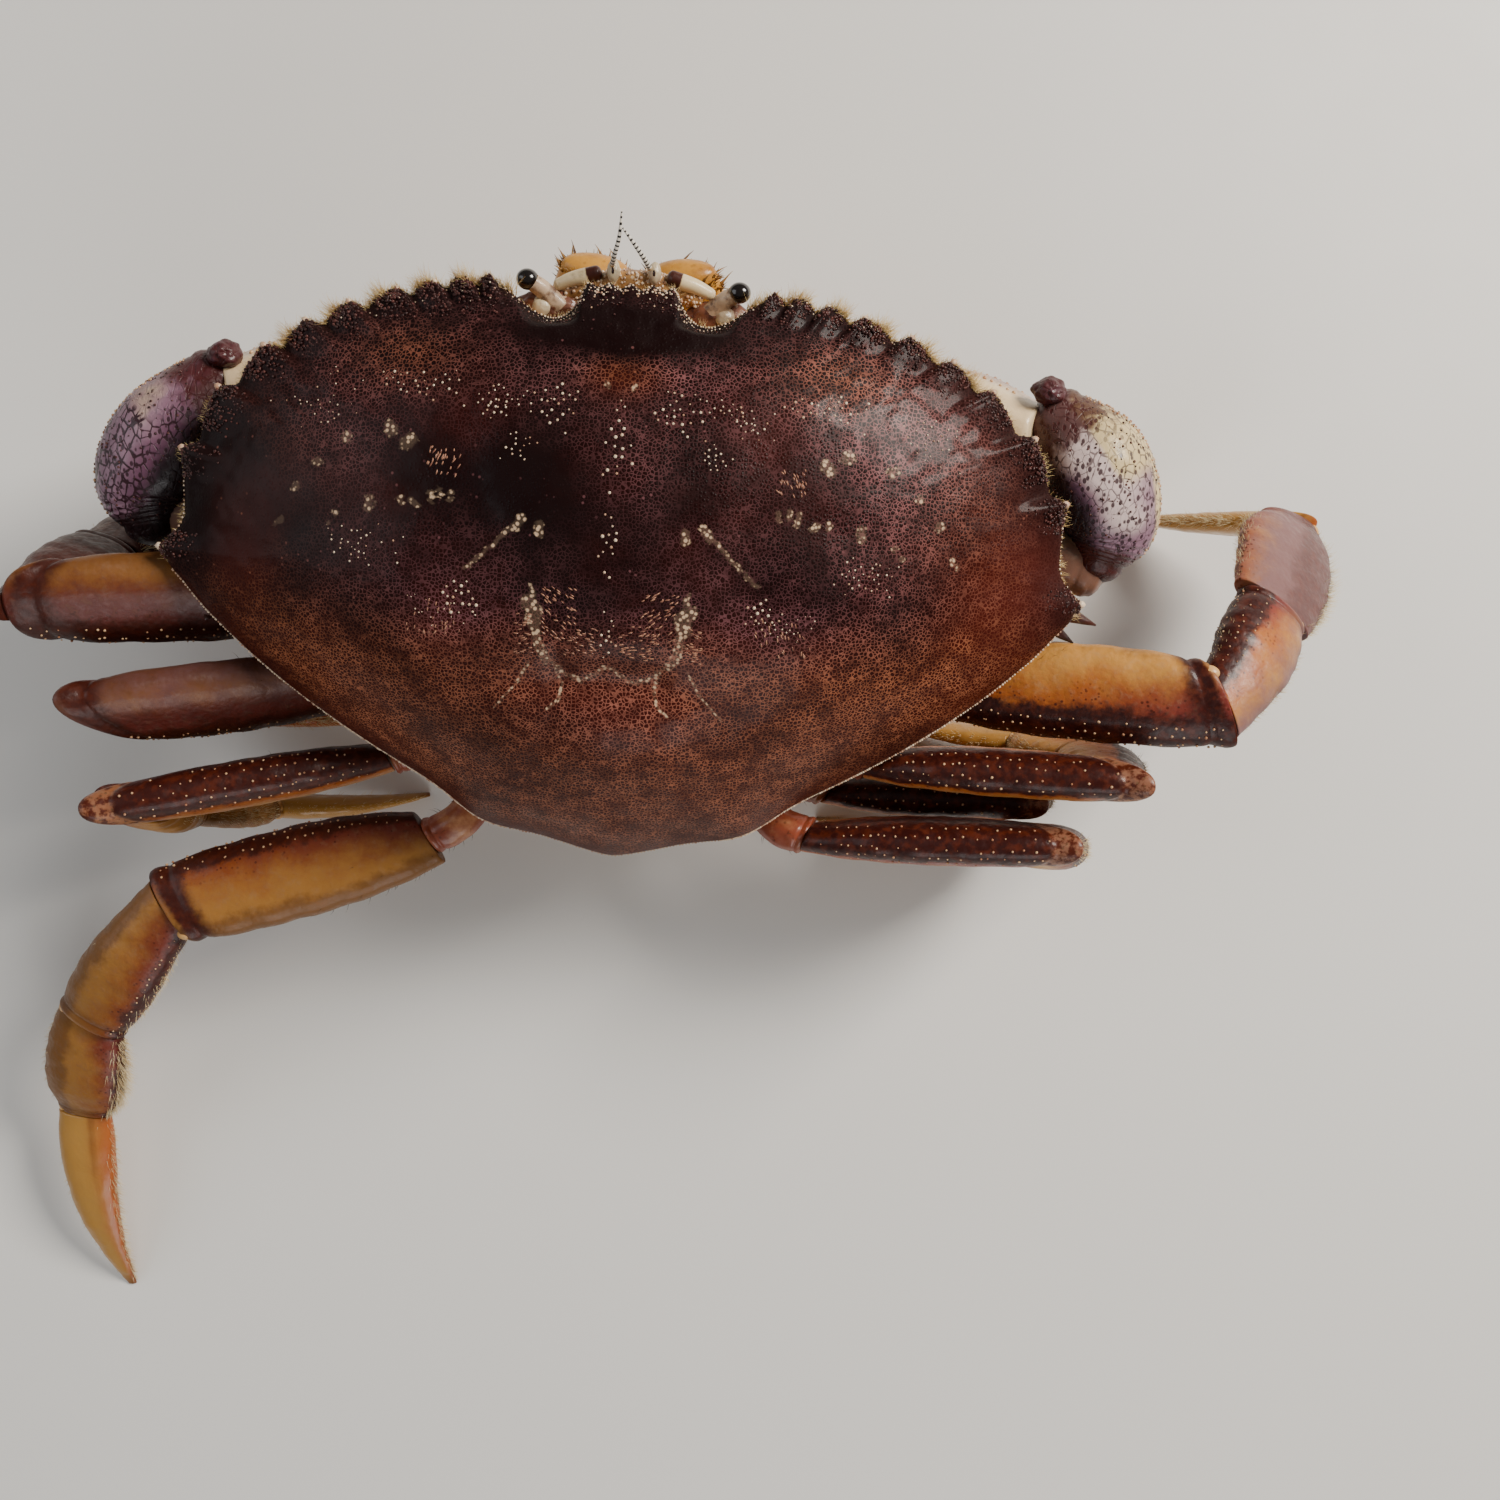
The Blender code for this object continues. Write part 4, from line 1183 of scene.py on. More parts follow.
    def corner_spines(self) -> None:
        """Dark pointed spines that stand out from under the side corners."""
        swarm = Swarm("corner_spines", self.finishes.spine, Slot.SHELL)
        spike = spike_form(10, 4)
        for side, roots, tips in (
            (1.0, ((83.0, 7.0, -6.0), (81.5, 10.5, -7.0), (79.0, 13.5, -8.0), (84.0, 4.5, -5.0)),
             ((90.0, 9.6, -6.5), (84.6, 14.2, -8.0), (81.2, 17.4, -9.0), (88.0, 5.6, -6.0))),
            (-1.0, ((-82.5, 2.0, -5.5), (-80.5, 5.0, -6.0), (-78.0, 7.6, -6.5), (-75.5, 9.8, -7.0)),
             ((-89.0, 4.6, -6.0), (-85.2, 8.2, -6.5), (-82.0, 10.8, -7.0), (-79.0, 13.0, -7.5))),
        ):
            runs = np.array(tips) - np.array(roots)
            size = np.linalg.norm(runs, axis=1)
            swarm.add(spike, np.array(roots) - runs * 0.15, runs, (0.0, side, 1.0),
                      sized(size * 0.30, size * 0.34, size * 1.15), 0.05)
        swarm.finish()


@dataclass
class Rod:
    """Closed rod of soft section swept along a path, with each end flat on a joint plane."""

    path: Array
    widths: Array
    depths: Array
    face: Array
    start_plane: Array | None = None
    end_plane: Array | None = None
    power: float = 2.3
    dome: float = 0.0

    def at(self, t: Array, turn: Array, out: Array | float = 1.0) -> Array:
        """Places on the rod.

        Args:
            t: how far along, from 0 to 1.
            turn: angle round the section; 0 is one thin edge and a quarter turn the broad face.
            out: share of the section's own size.

        Returns:
            Places in the crab's own frame.
        """
        centre = curve(self.path, t)
        later, sooner = np.minimum(t + 0.01, 1.0), np.maximum(t - 0.01, 0.0)
        tangent = unit(curve(self.path, later) - curve(self.path, sooner))
        face = np.asarray(self.face, dtype=float)
        deep = unit(face - tangent * (tangent @ face)[..., None])
        wide = np.cross(deep, tangent)
        across = curve(self.widths, t) * rounded(np.cos(turn), self.power) * out
        through = curve(self.depths, t) * rounded(np.sin(turn), self.power) * out
        spot = centre + wide * across[..., None] + deep * through[..., None]
        for plane, near in ((self.start_plane, t < 0.5), (self.end_plane, t >= 0.5)):
            if plane is not None:
                share = (1.0 - np.abs(2.0 * t - 1.0))[..., None]
                normal = unit(np.asarray(plane) * (1.0 - share) + tangent * share)
                slip = ((spot - centre) * normal).sum(-1) / (tangent * normal).sum(-1)
                spot = np.where(near[..., None], spot - tangent * slip[..., None], spot)
        cap = np.where(t <= 0.0, -1.0, np.where(t >= 1.0, 1.0, 0.0)) * self.dome
        return spot + tangent * (cap * np.sqrt(np.maximum(1.0 - np.minimum(out, 1.0) ** 2, 0.0)))[..., None]

    def spots_and_ups(self, t: Array, turn: Array, out: float = 1.0) -> tuple:
        """Places on the surface, the way it looks there and the way along it."""
        spot = self.at(t, turn, out)
        later, sooner = np.minimum(t + 0.01, 1.0), np.maximum(t - 0.01, 0.0)
        ahead = self.at(later, turn, out) - self.at(sooner, turn, out)
        around = self.at(t, turn + 0.05, out) - self.at(t, turn - 0.05, out)
        up = unit(np.cross(around, ahead))
        centre = curve(self.path, t)
        flip = np.sign(((spot - centre) * up).sum(-1))
        return spot, up * flip[..., None], unit(ahead)


CAP = (0.0, 0.35, 0.66, 0.86, 0.95)


def rod_levels(rows: int, extra: tuple = ()) -> Array:
    """Rings of a rod from end to end: how far along, and the share of the section's size."""
    body = np.sort(np.concatenate((np.linspace(0.012, 0.988, rows), np.array(extra))))
    start = [(0.0, share) for share in CAP] + [(0.003, 0.985)]
    end = [(0.997, 0.985)] + [(1.0, share) for share in reversed(CAP)]
    return np.array(start + [(t, 1.0) for t in body] + end)


@dataclass
class Limb:
    """One shell piece of a leg or claw with its grain rows and bristles."""

    node: str
    rod: Rod
    dark_side: float = 1.0
    rosy: tuple = (0.3, 0.6)
    lilac: float = 0.0
    maroon_and_painted_shade: float = 0.0
    narrow: float = 0.0
    sides: int = 40
    rows: int = 52
    ring: float = 1.0
    lean: float = 0.0
    collar: float = 0.0
    deep_tone_and_painted_shade: float = 0.0

    def relief(self, t: Array, turn: Array) -> Array:
        """Share of the section's size: keels, a face groove and a collar at the far end."""
        edge = np.cos(turn)
        out = 1.0 + 0.025 * np.exp(-((t - 0.965) / 0.018) ** 2) - 0.05 * np.exp(-((t - 0.915) / 0.014) ** 2)
        out -= 0.035 * np.exp(-(edge / 0.22) ** 2) * np.sin(math.pi * t)
        return out * (1.0 + 0.012 * np.sin(t * 37.0 + 3.0 * edge))

    def build(self, material: Material, slot: Slot) -> bpy.types.Object:
        """Make the piece."""
        rings = rod_levels(self.rows, (0.90, 0.908, 0.922, 0.93, 0.95, 0.958, 0.972))
        bm, turn, t, out = ring_grid(self.sides, rings)
        body = ease(t / 0.05) * ease((1.0 - t) / 0.02)
        shape = out * (1.0 + (self.relief(t, turn) - 1.0) * body)
        spots = self.rod.at(t, turn, shape)
        lumps = ripple(spots, 3.0) * 0.10 * body
        spots = spots + unit(spots - curve(self.rod.path, t)) * lumps[:, None]
        across = np.cos(turn) * self.dark_side * np.minimum(out * 1.05, 1.0)
        groove = np.exp(-((np.cos(turn) * self.dark_side - 0.35) / 0.2) ** 2) * (1.0 - t)
        rosy = np.interp(t, np.linspace(0.0, 1.0, len(self.rosy)), self.rosy)
        side = across - self.narrow - self.lean * np.maximum(np.sin(turn) * np.minimum(out, 1.0), 0.0)
        masks = {"side": side, "along": t, "rosy": rosy, "ring": self.ring, "groove": groove,
                 "tone": 0.3 * t, "lilac": self.lilac, "maroon_and_painted_shade": self.maroon_and_painted_shade, "collar": self.collar,
                 "deep_tone_and_painted_shade": self.deep_tone_and_painted_shade}
        return closed_piece(self.node + "_shell", bm, spots, material, (self.node,), masks)

    def dark_turn(self, offset: float) -> float:
        """Angle round the section of a row so many degrees from the dark edge, towards the broad face."""
        return math.radians(offset) if self.dark_side > 0.0 else math.pi - math.radians(offset)

    def grain_rows(self, swarm: Swarm, offsets: tuple, size: float, spacing: float,
                   rng: np.random.Generator, span: tuple = (0.10, 0.93)) -> None:
        """Rows of beads along the dark edge."""
        length = float(np.linalg.norm(self.rod.path[-1] - self.rod.path[0]))
        bead = round_form()
        for row, offset in enumerate(offsets):
            turn = math.radians(offset)
            if math.cos(turn) - self.lean * max(math.sin(turn), 0.0) < 0.12 + self.narrow:
                continue
            count = max(int(length * (span[1] - span[0]) / spacing), 2)
            t = np.linspace(*span, count) + rng.normal(0.0, 0.008, count) + 0.5 * (row % 2) / count
            t = np.clip(t[rng.random(count) > 0.15], 0.02, 0.97)
            count = len(t)
            turn = np.full(count, self.dark_turn(offset)) + rng.normal(0.0, 0.035, count)
            spots, ups, ahead = self.rod.spots_and_ups(t, turn)
            sizes = size * rng.uniform(0.6, 1.1, count) * np.interp(t, (0.0, 0.3, 1.0), (0.6, 0.9, 1.0))
            swarm.add(bead, spots, ups, ahead, sized(sizes, sizes, sizes * 0.9))

    def bristles(self, swarm: Swarm, offset: float, count: int, length: float,
                 rng: np.random.Generator, span: tuple = (0.05, 0.95), spread: float = 0.25) -> None:
        """Fringe of bristles along an edge, leaning to the far end."""
        spike = spike_form()
        t = rng.uniform(*span, count)
        turn = np.full(count, self.dark_turn(offset)) + rng.normal(0.0, spread, count)
        spots, ups, ahead = self.rod.spots_and_ups(t, turn, 0.985)
        ups = ups + 0.45 * ahead + rng.normal(0.0, 0.18, (count, 3))
        size = length * rng.uniform(0.5, 1.15, count) * np.sin(math.pi * np.clip(t, 0.04, 0.96)) ** 0.4
        swarm.add(spike, spots, ups, ahead, sized(0.05, 0.05, size), 0.25)


def bisector(before: Array, joint: Array, after: Array) -> Array:
    """Direction that the joint plane between two pieces looks in."""
    return unit(unit(joint - before) + unit(after - joint))


def limb_rod(node: str, ends: tuple, planes: tuple, face: tuple, size: tuple,
             bow: Array | tuple = (0.0, 0.0, 0.0)) -> Rod:
    """Rod of one limb piece between two joint planes; size is its profile, half width and half depth."""
    start, end = ends
    first, last = planes
    profile, half_width, half_depth = size
    start = start + first * (GAP * 0.5)
    end = end - last * (GAP * 0.5)
    run = end - start
    path = np.array([start + run * (step / 4.0) + np.asarray(bow) * math.sin(math.pi * step / 4.0)
                     for step in range(5)])
    if node.endswith("_coxa"):
        start = start + first * (GAP * 0.6)
        length = float(np.linalg.norm(run))
        path = np.array((start, start + first * (length * 0.3), end - last * (length * 0.3), end))
    profile = np.array(profile)
    return Rod(path, profile * half_width, profile * half_depth, np.array(face), first, last)


@dataclass
class Chest:
    """Underbody with its breast plates, and the narrow tail folded under it."""

    finishes: Finishes
    top_reach: tuple = (40.0, 42.0)
    floor_reach: tuple = (20.0, 29.0)
    centre: float = 3.0
    top: float = -14.3
    floor: float = -31.0
    base_height: float = -22.5
    seams: tuple = (58.0, 77.0, 95.5, 113.0, 131.5)

    def wall(self, side: Array, angle: Array, t: Array) -> Array:
        """Place on the wall: t is 0 at the flat top and 1 at the flat bottom."""
        bulge = t ** 1.6
        reach_x = self.top_reach[0] + (self.floor_reach[0] - self.top_reach[0]) * bulge
        reach_y = self.top_reach[1] + (self.floor_reach[1] - self.top_reach[1]) * bulge
        return np.stack((side * reach_x * np.sin(angle), self.centre - reach_y * np.cos(angle),
                         self.top + (self.floor - self.top) * t), axis=-1)

    def base(self, side: float, degrees: float) -> tuple:
        """Place and outward direction of a limb's root on the wall."""
        t = (self.top - self.base_height) / (self.top - self.floor)
        angle = math.radians(degrees)

        def spot(turn: float, down: float) -> Array:
            return self.wall(np.array(side), np.array(angle + turn), np.array(t + down))

        here = spot(0.0, 0.0)
        outward = unit(np.cross(spot(0.02, 0.0) - spot(-0.02, 0.0), spot(0.0, 0.02) - spot(0.0, -0.02)))
        if outward @ (here - np.array((0.0, self.centre, here[2]))) < 0.0:
            outward = -outward
        return here, outward

    def build(self) -> None:
        """Make the chest and the tail."""
        levels = [(0.0, 0.0), (0.0, 0.5), (0.0, 0.9)] + [(step / 30.0, 1.0) for step in range(31)]
        levels += [(1.0, 0.97 - 0.97 * step / 16.0) for step in range(17)]
        bm, turn, t, out = ring_grid(160, levels)
        angle = np.arctan2(np.cos(turn), -np.sin(turn))
        side = np.where(angle >= 0.0, 1.0, -1.0)
        spots = self.wall(side, np.abs(angle), t)
        middle = np.array((0.0, self.centre, 0.0))
        flat = spots * FLAT
        spots = middle + (flat - middle) * out[:, None] + spots * UP
        degrees = np.degrees(np.abs(angle))
        seam = sum(np.exp(-((degrees - place) / 1.6) ** 2) for place in self.seams)
        spots[:, 2] += 0.7 * seam * ease((t - 0.75) / 0.2) * ease((out - 0.2) / 0.2) * (t > 0.5)
        spots[:, 2] = np.where(t > 0.5, np.maximum(spots[:, 2], self.floor), spots[:, 2])
        masks = {"tone": 0.25 * seam + 0.25 * (1.0 - t)}
        closed_piece("chest", bm, spots, self.finishes.chest, ("thorax",), masks)
        self.tail()

    def tail(self) -> None:
        """Tail flap of seven rings that narrow towards the mouth."""
        under = self.floor - GAP - 1.9
        path = np.array(((0, 49.0, -16), (0, 45.5, -24), (0, 39.5, -31.5), (0, 24.0, under),
                         (0, 8.0, under), (0, -8.0, under)))
        widths, depths = (12.5, 12.0, 11.0, 10.0, 7.5, 3.0), (1.4, 1.4, 1.4, 1.5, 1.5, 1.0)
        rod = Rod(path, np.array(widths), np.array(depths), np.array((0.0, 0.5, -1.0)))
        seams = (0.14, 0.28, 0.42, 0.56, 0.70, 0.84)
        bm, turn, t, out = ring_grid(48, rod_levels(90))
        groove = sum(np.exp(-((t - seam) / 0.008) ** 2) for seam in seams)
        spots = rod.at(t, turn, out * (1.0 - 0.05 * groove))
        closed_piece("tail_flap", bm, spots, self.finishes.chest, ("abdomen",),
                     {"tone": 0.5 * groove})


@dataclass
class Leg:
    """Walking leg of five pieces."""

    key: str
    places: tuple
    tip: tuple
    faces: tuple
    look: Look

    PARTS = ("coxa", "merus", "carpus", "propodus", "dactyl")
    BASES = {"1": 86.0, "2": 104.0, "3": 122.0, "4": 143.0}
    HALF_WIDTH = {"coxa": 5.2, "merus": 9.4, "carpus": 8.0, "propodus": 8.6, "dactyl": 6.2}
    HALF_DEPTH = {"coxa": 5.8, "merus": 4.7, "carpus": 4.4, "propodus": 3.6, "dactyl": 2.6}
    PROFILE = {
        "coxa": (1.0, 0.86, 0.72, 0.70),
        "merus": (0.62, 0.86, 0.98, 1.0, 0.97, 0.84),
        "carpus": (0.80, 0.92, 1.06, 1.05, 0.92),
        "propodus": (0.86, 1.0, 1.06, 1.0, 0.66),
        "dactyl": (0.95, 1.0, 0.88, 0.68, 0.42, 0.16),
    }
    BOW = {"coxa": 0.0, "merus": 0.0, "carpus": 1.2, "propodus": 0.8, "dactyl": 3.0}

    def pieces(self, chest: Chest) -> list:
        """Limbs of the five pieces from the chest outwards."""
        side = 1.0 if self.key.startswith("left") else -1.0
        hip, knee, wrist, heel = (np.array(place, dtype=float) for place in self.places)
        tip = np.array((*self.tip, STANCE.floor(self.tip[1])))
        merus_face, middle_face, tip_face = self.faces
        faces = ((0.0, 0.3, 1.0), merus_face, middle_face, middle_face, tip_face)
        base, outward = chest.base(side, self.BASES[self.key[-1]])
        joints = [base, hip, knee, wrist, heel, tip]
        planes = [outward]
        planes += [bisector(*joints[index:index + 3]) for index in range(4)]
        planes.append(unit(tip - heel))
        limbs = []
        for index, part in enumerate(self.PARTS):
            run = unit(joints[index + 1] - joints[index])
            outside = unit(knee - base) * 0.6 + np.array((0.0, 0.0, 0.8))
            bow = (outside - run * (outside @ run)) * self.BOW[part]
            size = (self.PROFILE[part], self.HALF_WIDTH[part], self.HALF_DEPTH[part])
            node = "leg_" + self.key + "_" + part
            rod = limb_rod(node, (joints[index], joints[index + 1]), (planes[index], planes[index + 1]),
                           faces[index], size, bow)
            dark_side = self.look.dark_side if index < 2 else self.look.outer_side
            limbs.append(Limb(node, rod, dark_side, self.look.rosy, deep_tone_and_painted_shade=self.look.deep_tone_and_painted_shade))
        for limb, *tones in zip(limbs[1:4], self.look.lilac, self.look.maroon_and_painted_shade, self.look.narrow):
            limb.lilac, limb.maroon_and_painted_shade, limb.narrow = tones
            limb.lean = self.look.lean
        limbs[1].collar = self.look.collar
        limbs[3].rod.widths = limbs[3].rod.widths * self.look.broad
        return limbs

    def build(self, kit: Kit) -> None:
        """Make the pieces with their grains and bristles."""
        finishes, swarms, rng = kit.finishes, kit.swarms, kit.rng
        grains, fringe, dark = swarms["grains"], swarms["fringe"], swarms["dark"]
        limbs = self.pieces(kit.chest)
        coxa, merus, carpus, propodus, dactyl = limbs
        carpus.ring = propodus.ring = 0.35
        dactyl.ring = 0.0
        coxa.build(finishes.root, Slot.LEG)
        for limb in (merus, carpus, propodus):
            limb.build(finishes.limb, Slot.LEG)
        dactyl.build(finishes.tip, Slot.TIP)
        end = 0.93 - 0.07 * (merus.collar > 0.5)
        merus.grain_rows(grains, (-42.0, -18.0, 6.0, 28.0, 48.0, 64.0), 0.30, 1.7, rng, (0.10, end))
        carpus.grain_rows(grains, (-20.0, 10.0, 42.0, 66.0), 0.24, 1.4, rng)
        propodus.grain_rows(grains, (0.0, 36.0, 64.0), 0.20, 1.4, rng)
        for limb, count, length in ((carpus, 260, 1.5), (propodus, 700, 3.0), (dactyl, 520, 2.0)):
            limb.bristles(fringe, self.look.fringe, count, length, rng)
            limb.bristles(fringe, self.look.fringe + 180.0, count // 3, length * 0.5, rng)
        merus.bristles(dark, 180.0, 26, 2.0, rng, (0.02, 0.5), 0.5)
        coxa.bristles(dark, 90.0, 40, 2.4, rng, (0.1, 0.9), 1.2)
        self.condyles(swarms["knobs"], (merus, carpus, propodus))
        self.membranes(swarms["skins"], limbs)

    def condyles(self, swarm: Swarm, limbs: tuple) -> None:
        """Pale hinge knobs at the far ends, on the edge away from the dark one."""
        knob = round_form(3)
        for limb in limbs:
            turn = np.array([limb.dark_turn(158.0), limb.dark_turn(-158.0)])
            spots, ups, ahead = limb.rod.spots_and_ups(np.array([0.98, 0.98]), turn, 0.84)
            size = 0.13 * limb.rod.widths[-1] + 0.4
            swarm.add(knob, spots, ups, ahead, (size * 1.3, size, size * 0.9))

    @staticmethod
    def membranes(swarm: Swarm, limbs: list) -> None:
        """Soft skin between each piece and the next."""
        knob = round_form(3)
        for near, far in zip(limbs, limbs[1:]):
            joint = (near.rod.path[-1] + far.rod.path[0]) * 0.5
            width = min(near.rod.widths[-1], far.rod.widths[0]) * 0.93
            depth = min(near.rod.depths[-1], far.rod.depths[0]) * 0.9
            along = unit(far.rod.path[0] - near.rod.path[-1])
            face = np.asarray(far.rod.face, dtype=float)
            swarm.add(knob, joint[None], along, np.cross(face, along), (width, depth, 1.6))


AMBER, ROSE = (0.0, 0.2, 0.5), (0.5, 0.8, 1.0)
# The left legs are darkened far more than the right ones as painted shade, the first two also towards
# maroon; the second left leg's lilac edge is partly a painted highlight.
LEGS = (
    Leg("left_1", ((54, 9, -19), (107, 11.5, -1), (104, 4.5, -24), (93, -4, -46)), (61, -12),
        ((0.1, 0.4, 0.91), (0.2, 0.8, 0.2), (0.1, 0.95, -0.1)),
        Look(1.0, 1.0, (0.75, 0.9, 1.0), maroon_and_painted_shade=(0.28, 0.9, 0.7), deep_tone_and_painted_shade=0.72)),
    Leg("left_2", ((52, 26, -17), (95, 31.8, -1), (96, 36, -24), (86, 39, -44)), (54, 41),
        ((0.0, 0.66, 0.75), (0.1, 0.98, 0.12), (0.1, 0.98, 0.12)),
        Look(1.0, 1.0, (0.9, 1.0, 1.0), lilac=(0.45, 0.2, 0.0), maroon_and_painted_shade=(0.46, 0.4, 0.3), deep_tone_and_painted_shade=0.68)),
    Leg("left_3", ((46, 41, -17), (91.5, 50.2, -4), (92, 57, -27), (77, 60, -44)), (45, 58),
        ((0.0, 0.95, 0.3), (0.1, 0.98, 0.15), (0.1, 0.98, 0.15)),
        Look(-1.0, -1.0, (0.0, 0.0, 0.2), lean=0.5, collar=0.9, deep_tone_and_painted_shade=0.36)),
    Leg("left_4", ((38, 57.8, -20), (89, 74.3, -15), (109, 103, -23), (114, 127.5, -30)), (107.1, 173),
        ((0.1, -0.25, 0.96), (0.2, 0.1, 0.97), (0.1, 0.1, 0.98)),
        Look(-1.0, 1.0, (0.85, 0.6, 0.3), narrow=(0.40, 0.55, 0.72), deep_tone_and_painted_shade=0.58)),
    Leg("right_1", ((-57, 18, -15), (-112.5, 16.8, 0), (-125, 0.6, -16), (-134.2, -15, -40)), (-104, -12.5),
        ((0.0, 0.1, 0.99), (-0.38, -0.5, 0.75), (0.1, 1.0, 0.1)),
        Look(-1.0, 1.0, (0.0, 0.3, 1.0), lilac=(0.0, 0.5, 0.8), narrow=(-0.05, 0.1, 0.9), fringe=180.0,
             broad=1.25, deep_tone_and_painted_shade=0.22)),
    Leg("right_2", ((-50, 35.4, -14), (-93.5, 33, -2), (-95, 34, -25), (-85, 35, -45)), (-52, 34),
        ((0.0, 0.99, 0.14), (0.0, 1.0, 0.05), (0.0, 1.0, 0.05)),
        Look(1.0, 1.0, AMBER, lean=0.8, collar=0.9, deep_tone_and_painted_shade=0.25)),
    Leg("right_3", ((-42, 43.8, -26), (-80, 43.6, -26), (-82.5, 45.6, -44), (-58, 46.5, -47)), (-24, 46),
        ((0.0, 0.99, 0.1), (0.0, 1.0, 0.02), (0.0, 1.0, 0.02)),
        Look(1.0, 1.0, AMBER, lean=0.8, collar=0.9, deep_tone_and_painted_shade=0.2)),
    Leg("right_4", ((-38.6, 51.6, -15.8), (-83.5, 47.6, -6), (-87.5, 53.5, -28), (-74, 57.5, -45)),
        (-42, 58),
        ((0.0, 0.99, 0.14), (0.0, 0.99, 0.14), (0.0, 0.99, 0.14)),
        Look(1.0, 1.0, ROSE, lean=0.7, collar=0.9, deep_tone_and_painted_shade=0.2)),
)


@dataclass
class Claw:
    """Pincer leg folded under the front: root, upper arm, wrist, hand and moving finger."""

    side: float
    base_angle: float = 66.0
    hip: tuple = (43.0, -17.0, -20.0)
    elbow: tuple = (89.5, -5.0, -14.0)
    wrist: tuple = (78.5, -30.0, -14.0)
    tip: tuple = (5.0, -38.0, -50.0)
    left_shift: tuple = (1.5, 2.0, 0.0)
    hand_length: float = 82.0
    knuckle: float = 45.0
    knob: tuple = (76.6, -38.0, -9.5)
    left_knob: tuple = (75.6, -35.0, -9.5)
    knob_size: tuple = (3.1, 2.5, 3.2)
    swell: tuple = ((0.3, -2.0), (3.9, -1.0), (5.0, -1.6), (3.6, -2.6), (0.2, -3.6))
    left_swell: tuple = ((-0.4, 0.4), (3.2, 0.6), (3.0, -0.2), (0.8, -1.2), (-1.8, -3.0))
    palm_start: float = 2.0
    palm_half: float = 9.0
    palm_profile: tuple = (0.6, 1.0, 1.04, 0.9, 0.62, 0.48, 0.2)

    def __post_init__(self) -> None:
        """Work out the joints and colours on this side."""
        self.left = self.side > 0.0
        self.web, self.straw = (1.0, 0.35) if self.left else (0.5, 1.0)
        flip = np.array((self.side, 1.0, 1.0))
        shift = np.array(self.left_shift) if self.left else np.zeros(3)
        self.stem = "claw_left" if self.left else "claw_right"
        self.hip_at = np.array(self.hip) * flip
        self.elbow_at = np.array(self.elbow) * flip + shift
        self.wrist_at = np.array(self.wrist) * flip + shift
        self.tip_at = np.array(self.tip) * flip
        self.forward = unit(self.tip_at - self.wrist_at)
        ahead = np.array((0.0, -1.0, 0.0))
        self.outward = unit(ahead - self.forward * (ahead @ self.forward))
        self.above = np.cross(self.forward, self.outward) * -self.side

    def build(self, kit: Kit) -> None:
        """Make the five pieces."""
        finishes = kit.finishes
        base, outward = kit.chest.base(self.side, self.base_angle)
        joints = [base, self.hip_at, self.elbow_at, self.wrist_at, self.tip_at]
        planes = [outward] + [bisector(*joints[index:index + 3]) for index in range(3)]
        coxa = limb_rod(self.stem + "_coxa", (base, self.hip_at), planes[0:2], UP,
                        ((1.0, 0.95, 0.9, 0.9), 7.0, 6.6))
        merus = limb_rod(self.stem + "_merus", (self.hip_at, self.elbow_at), planes[1:3], (0.0, 0.2, 1.0),
                         ((0.80, 0.95, 1.0, 0.88, 0.62), 8.0, 6.8))
        merus.end_plane, merus.dome = None, 2.4
        profile = (0.54, 0.92, 1.04, 0.94, 0.58) if self.left else (0.50, 0.90, 1.06, 1.04, 0.62)
        carpus = limb_rod(self.stem + "_carpus", (self.elbow_at, self.wrist_at), planes[2:4], UP,
                          (profile, 10.2, 11.0), (0.0, -0.6, 0.0))
        swell = self.left_swell if self.left else self.swell
        carpus.path = carpus.path + np.pad(np.array(swell), ((0, 0), (0, 1))) * (self.side, 1.0, 1.0)
        carpus.start_plane, carpus.end_plane, carpus.dome = None, None, 4.2
        Limb(self.stem + "_coxa", coxa).build(finishes.root, Slot.CLAW)
        Limb(self.stem + "_merus", merus, sides=64, rows=70).build(finishes.arm, Slot.CLAW)
        self.wrist_shell(carpus, finishes)
        self.wrist_knob(finishes)
        self.wrist_grains(carpus, kit)
        self.hand(planes[3], kit)
        knob = round_form(3)
        for joint, size in ((self.elbow_at, 2.88), (self.wrist_at, 3.68), (self.hip_at, 4.48)):
            kit.swarms["skins"].add(knob, joint[None], UP, (1.0, 0.0, 0.0), size)

    def wrist_knob(self, finishes: Finishes) -> None:
        """Dark red lump where the wrist meets the hand."""
        bm, ball = ball_form(48, 32)
        ball *= (1.0 + 0.16 * ripple(ball, 0.6))[:, None]
        knob = np.array(self.left_knob) if self.left else np.array(self.knob) * (-1.0, 1.0, 1.0)
        spots = knob + ball * self.knob_size
        masks = {"outer": -0.3, "white": 0.0, "black_and_painted_shade": 0.1, "straw": 0.0, "rust": 0.72, "web": 0.6,
                 "bare": 0.0}
        closed_piece(self.stem + "_wrist_knob", bm, spots, finishes.wrist, (), masks)

    def wrist_shell(self, rod: Rod, finishes: Finishes) -> None:
        """Wrist with its pale cells and dark inner side, and painted shade on its underside and on the left
        claw.
        """
        node = self.stem + "_carpus"
        bm, turn, t, out = ring_grid(96, rod_levels(110))
        body = ease(t / 0.05) * ease((1.0 - t) / 0.02)
        wrinkle = 0.018 * np.sin(t * 170.0) * ease((0.26 - t) / 0.1) * ease(t / 0.05)
        spots = rod.at(t, turn, out * (1.0 + wrinkle))
        spots = spots + unit(spots - curve(rod.path, t)) * (ripple(spots, 4.0) * 0.16 * body)[:, None]
        outer = (spots - curve(rod.path, t))[:, 0] * self.side / 10.0
        height = (spots - curve(rod.path, t))[:, 2] / 10.0
